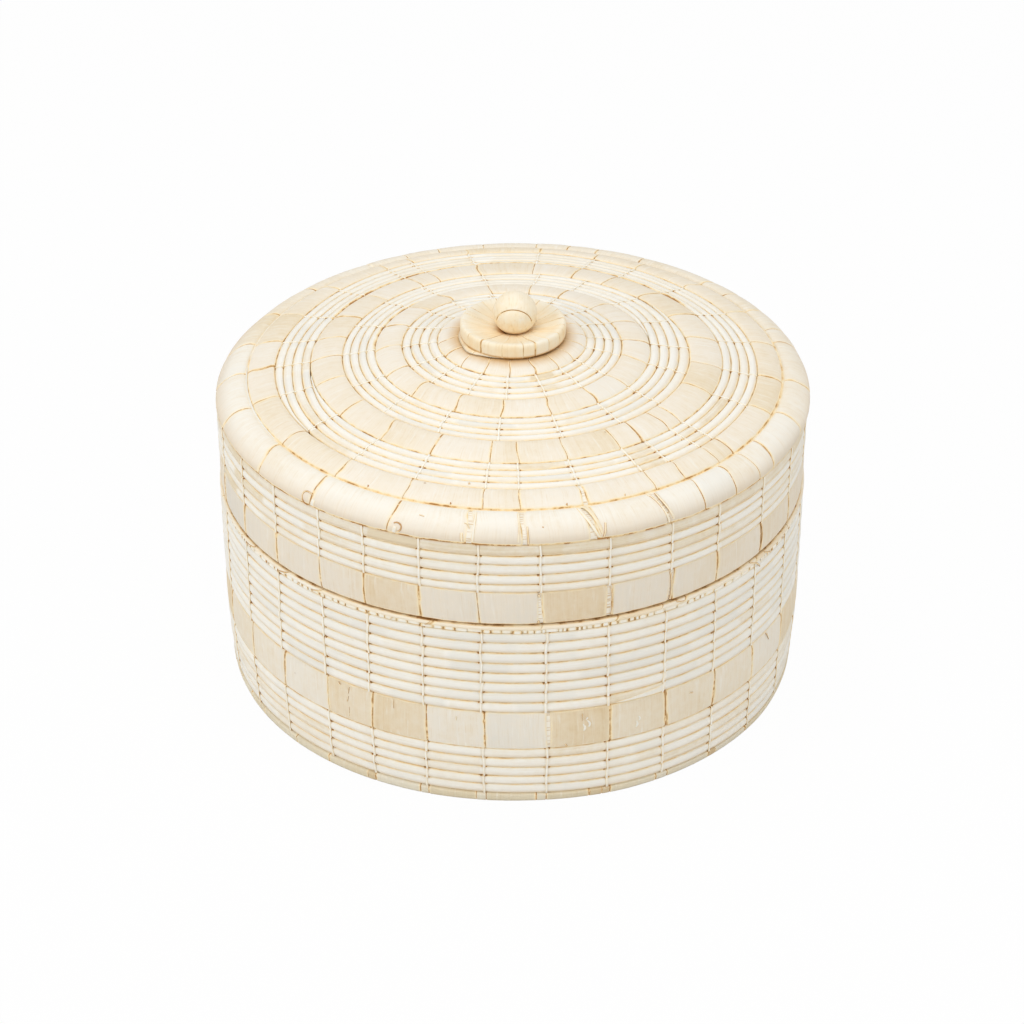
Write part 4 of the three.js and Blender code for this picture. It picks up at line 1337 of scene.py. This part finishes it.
# Painted shade: along the saucer's lower edge, over the lid, and in the dish round the bead.
saucer_foot_shade = fade(saucer_outline[:, 1], saucer_low + 0.9, saucer_low + 0.1)
saucer_dish_shade = fade(saucer_outline[:, 0], 9.5, 6.0)
saucer = wound_band(
    "saucer_leaf", saucer_outline, saucer_rows, "lid", ["knob_saucer_wrap"], 140, knob_leaf,
    gaps=(0.06, 0.2), widths={-36: 0.5, 25: 0.5}, lean=0.6, most=0.12, bulge=0.1, leaf=0.2,
    tints={-24: 0.38, 0: 0.44, 17: 0.38, 34: 0.22}, tint=0.42, spread=0.1, painted_light=saucer_painted_light,
    edges=(0.8, 1.5), side=0.0, shade=np.maximum(saucer_foot_shade, saucer_dish_shade),
)
shifted(saucer, 0.5)

# Spacer
# The spacer is a thin disc wound with leaf, which lies a little to the left and to the front. At
# the left of the front its leaf stands out in a corner.

spacer_high = spacer_low + spacer_height
spacer_corners = [
    (5.6, spacer_low), (18, spacer_low), (22.8, spacer_low), (23.2, spacer_low + 0.4),
    (22.8, spacer_high), (18, spacer_high), (5.6, spacer_high),
]
spacer_outline = spline_loop(spacer_corners, 24)
# Painted shadow: the spacer's leaf browns just inside the saucer's edge, and shade=0.3 is painted shade
# under the saucer.
spacer_shadow_line = 1.5 * fade(spacer_outline[:, 0], 22.0, 21.5)
spacer = wound_band(
    "spacer_leaf", spacer_outline, inner_rows + 4.0, "lid", ["knob_spacer"], 141, knob_leaf,
    gaps=(0.05, 0.2), most=0.03, bulge=0.0, leaf=0.1, side=spacer_shadow_line, shade=0.3,
)
shifted(spacer, -3.6, -2.2, 0.085)

# Bead
# A wooden bead has a cover of golden leaf. From above, the cover folds down over a round patch
# at the front, and its edge shows there as a brown arc.

bead_radius, bead_wood_radius, seat_radius, seat_height = 11.0, 10.1, 4.8, 1.3
bead_sits = saucer_low + seat_height + math.sqrt(bead_radius**2 - seat_radius**2)
bead_center = np.array([1.5, 0.0, bead_sits])
# The cover is a sphere, by the angle from the patch's middle (polar) and the turn round it (spin).
# Within 55 degrees the patch lies a little lower than the rest, most of all at its upper edge.
flap_axis = np.array([-0.07, -0.937, -0.342])
flap_axis /= np.linalg.norm(flap_axis)
flap_side = np.cross(flap_axis, [0.0, 0.0, 1.0])
flap_side /= np.linalg.norm(flap_side)
flap_up = np.cross(flap_side, flap_axis)
flap_edge = [54.0, 54.8, 55.2, 55.6, 56.4]
polar = np.concatenate([np.linspace(0.3, 52, 22), flap_edge, np.linspace(58.5, 179.7, 40)])[:, None]
spin = np.linspace(0, TURN, 72, endpoint=False)[None]
upper = fade(np.sin(spin), -0.22, 0.18)
flap_step = ramp(polar, (0, -0.15), (45, -0.28), (54.4, -0.4), (54.9, -0.6), (55.6, -0.5), (56.2, 0))
flap_step = flap_step * (0.15 + 0.85 * upper)
round_axis = np.cos(spin)[..., None] * flap_side + np.sin(spin)[..., None] * flap_up
ahead, aside = np.cos(np.radians(polar))[..., None], np.sin(np.radians(polar))[..., None]
bead_way = ahead * flap_axis + aside * round_axis
bead_points = bead_center + (bead_radius + flap_step)[..., None] * bead_way
bead_furrow = ramp(polar, (53.4, 0), (54.6, 1.6), (55.7, 1.6), (56.3, 0.1), (60, 0)) * upper
# Painted shade on the bead: the shade mark darkens its bottom, and the tint runs more golden towards the
# bottom and the sides, and a little towards the front.
bead_shade = fade(bead_way[..., 2], -0.55, -0.85)
bead_shaded_tint = 0.22 + 0.42 * np.clip(-bead_way[..., 2] * 0.5 + 0.45 - 0.25 * bead_way[..., 1], 0, 1)
bead_shaded_tint = bead_shaded_tint + 0.2 * np.abs(bead_way[..., 0]) ** 2
flat_uv = bead_points[..., [0, 2]] * MM
bead_uv = np.concatenate([flat_uv, flat_uv[:, :1]], 1)[None]
bead_leaf = leaf_look("bead_leaf", knob_stops, (900.0, 260.0), gloss=0.40, flecks=0.25, contrast=1.7)
bead_marks = {"tint": bead_shaded_tint[None], "furrow": bead_furrow[None], "shade": bead_shade[None]}
add_piece(
    "bead_leaf_cover", bead_points[None] * MM, bead_uv, bead_marks, False, bead_leaf, "lid",
    ["knob_bead_wrap"],
)

wood_points = (bead_center + bead_wood_radius * bead_way)[None] * MM
add_piece("bead_wood", wood_points, bead_uv, {}, False, wood_look, "lid", ["knob_bead"])

# Stem and washer
# A stem of twisted twine goes down through bead, saucer, spacer and lid, and ends in a knot
# against a washer of bare wood. The board inside the saucer's cover is bare wood too.

twine = Shader(bpy.data.materials.new("twine"), Specular_IOR_Level=0.25)
twine_lay = twine.noise(twine.place(), (900.0, 900.0, 400.0), 3.0)
twine_color = twine.mix(twine_lay.smooth(0.35, 0.65), (0.70, 0.56, 0.34), (0.52, 0.38, 0.20))
twine_look = twine.finish(twine_color, 0.8 + 0.1 * twine_lay, 0.3 * twine_lay)
for node, look in (("knob_saucer_board", wood_look), ("knob_washer", wood_look), ("knob_stem", twine_look)):
    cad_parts[node].data.materials.clear()
    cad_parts[node].data.materials.append(look)

# Sizes
# The frame's own box and that of the dressed part are worked out.

sizes = {"cad": cad_box, "visual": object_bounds()}
sizes = {name: [list(map(float, corner)) for corner in box] for name, box in sizes.items()}
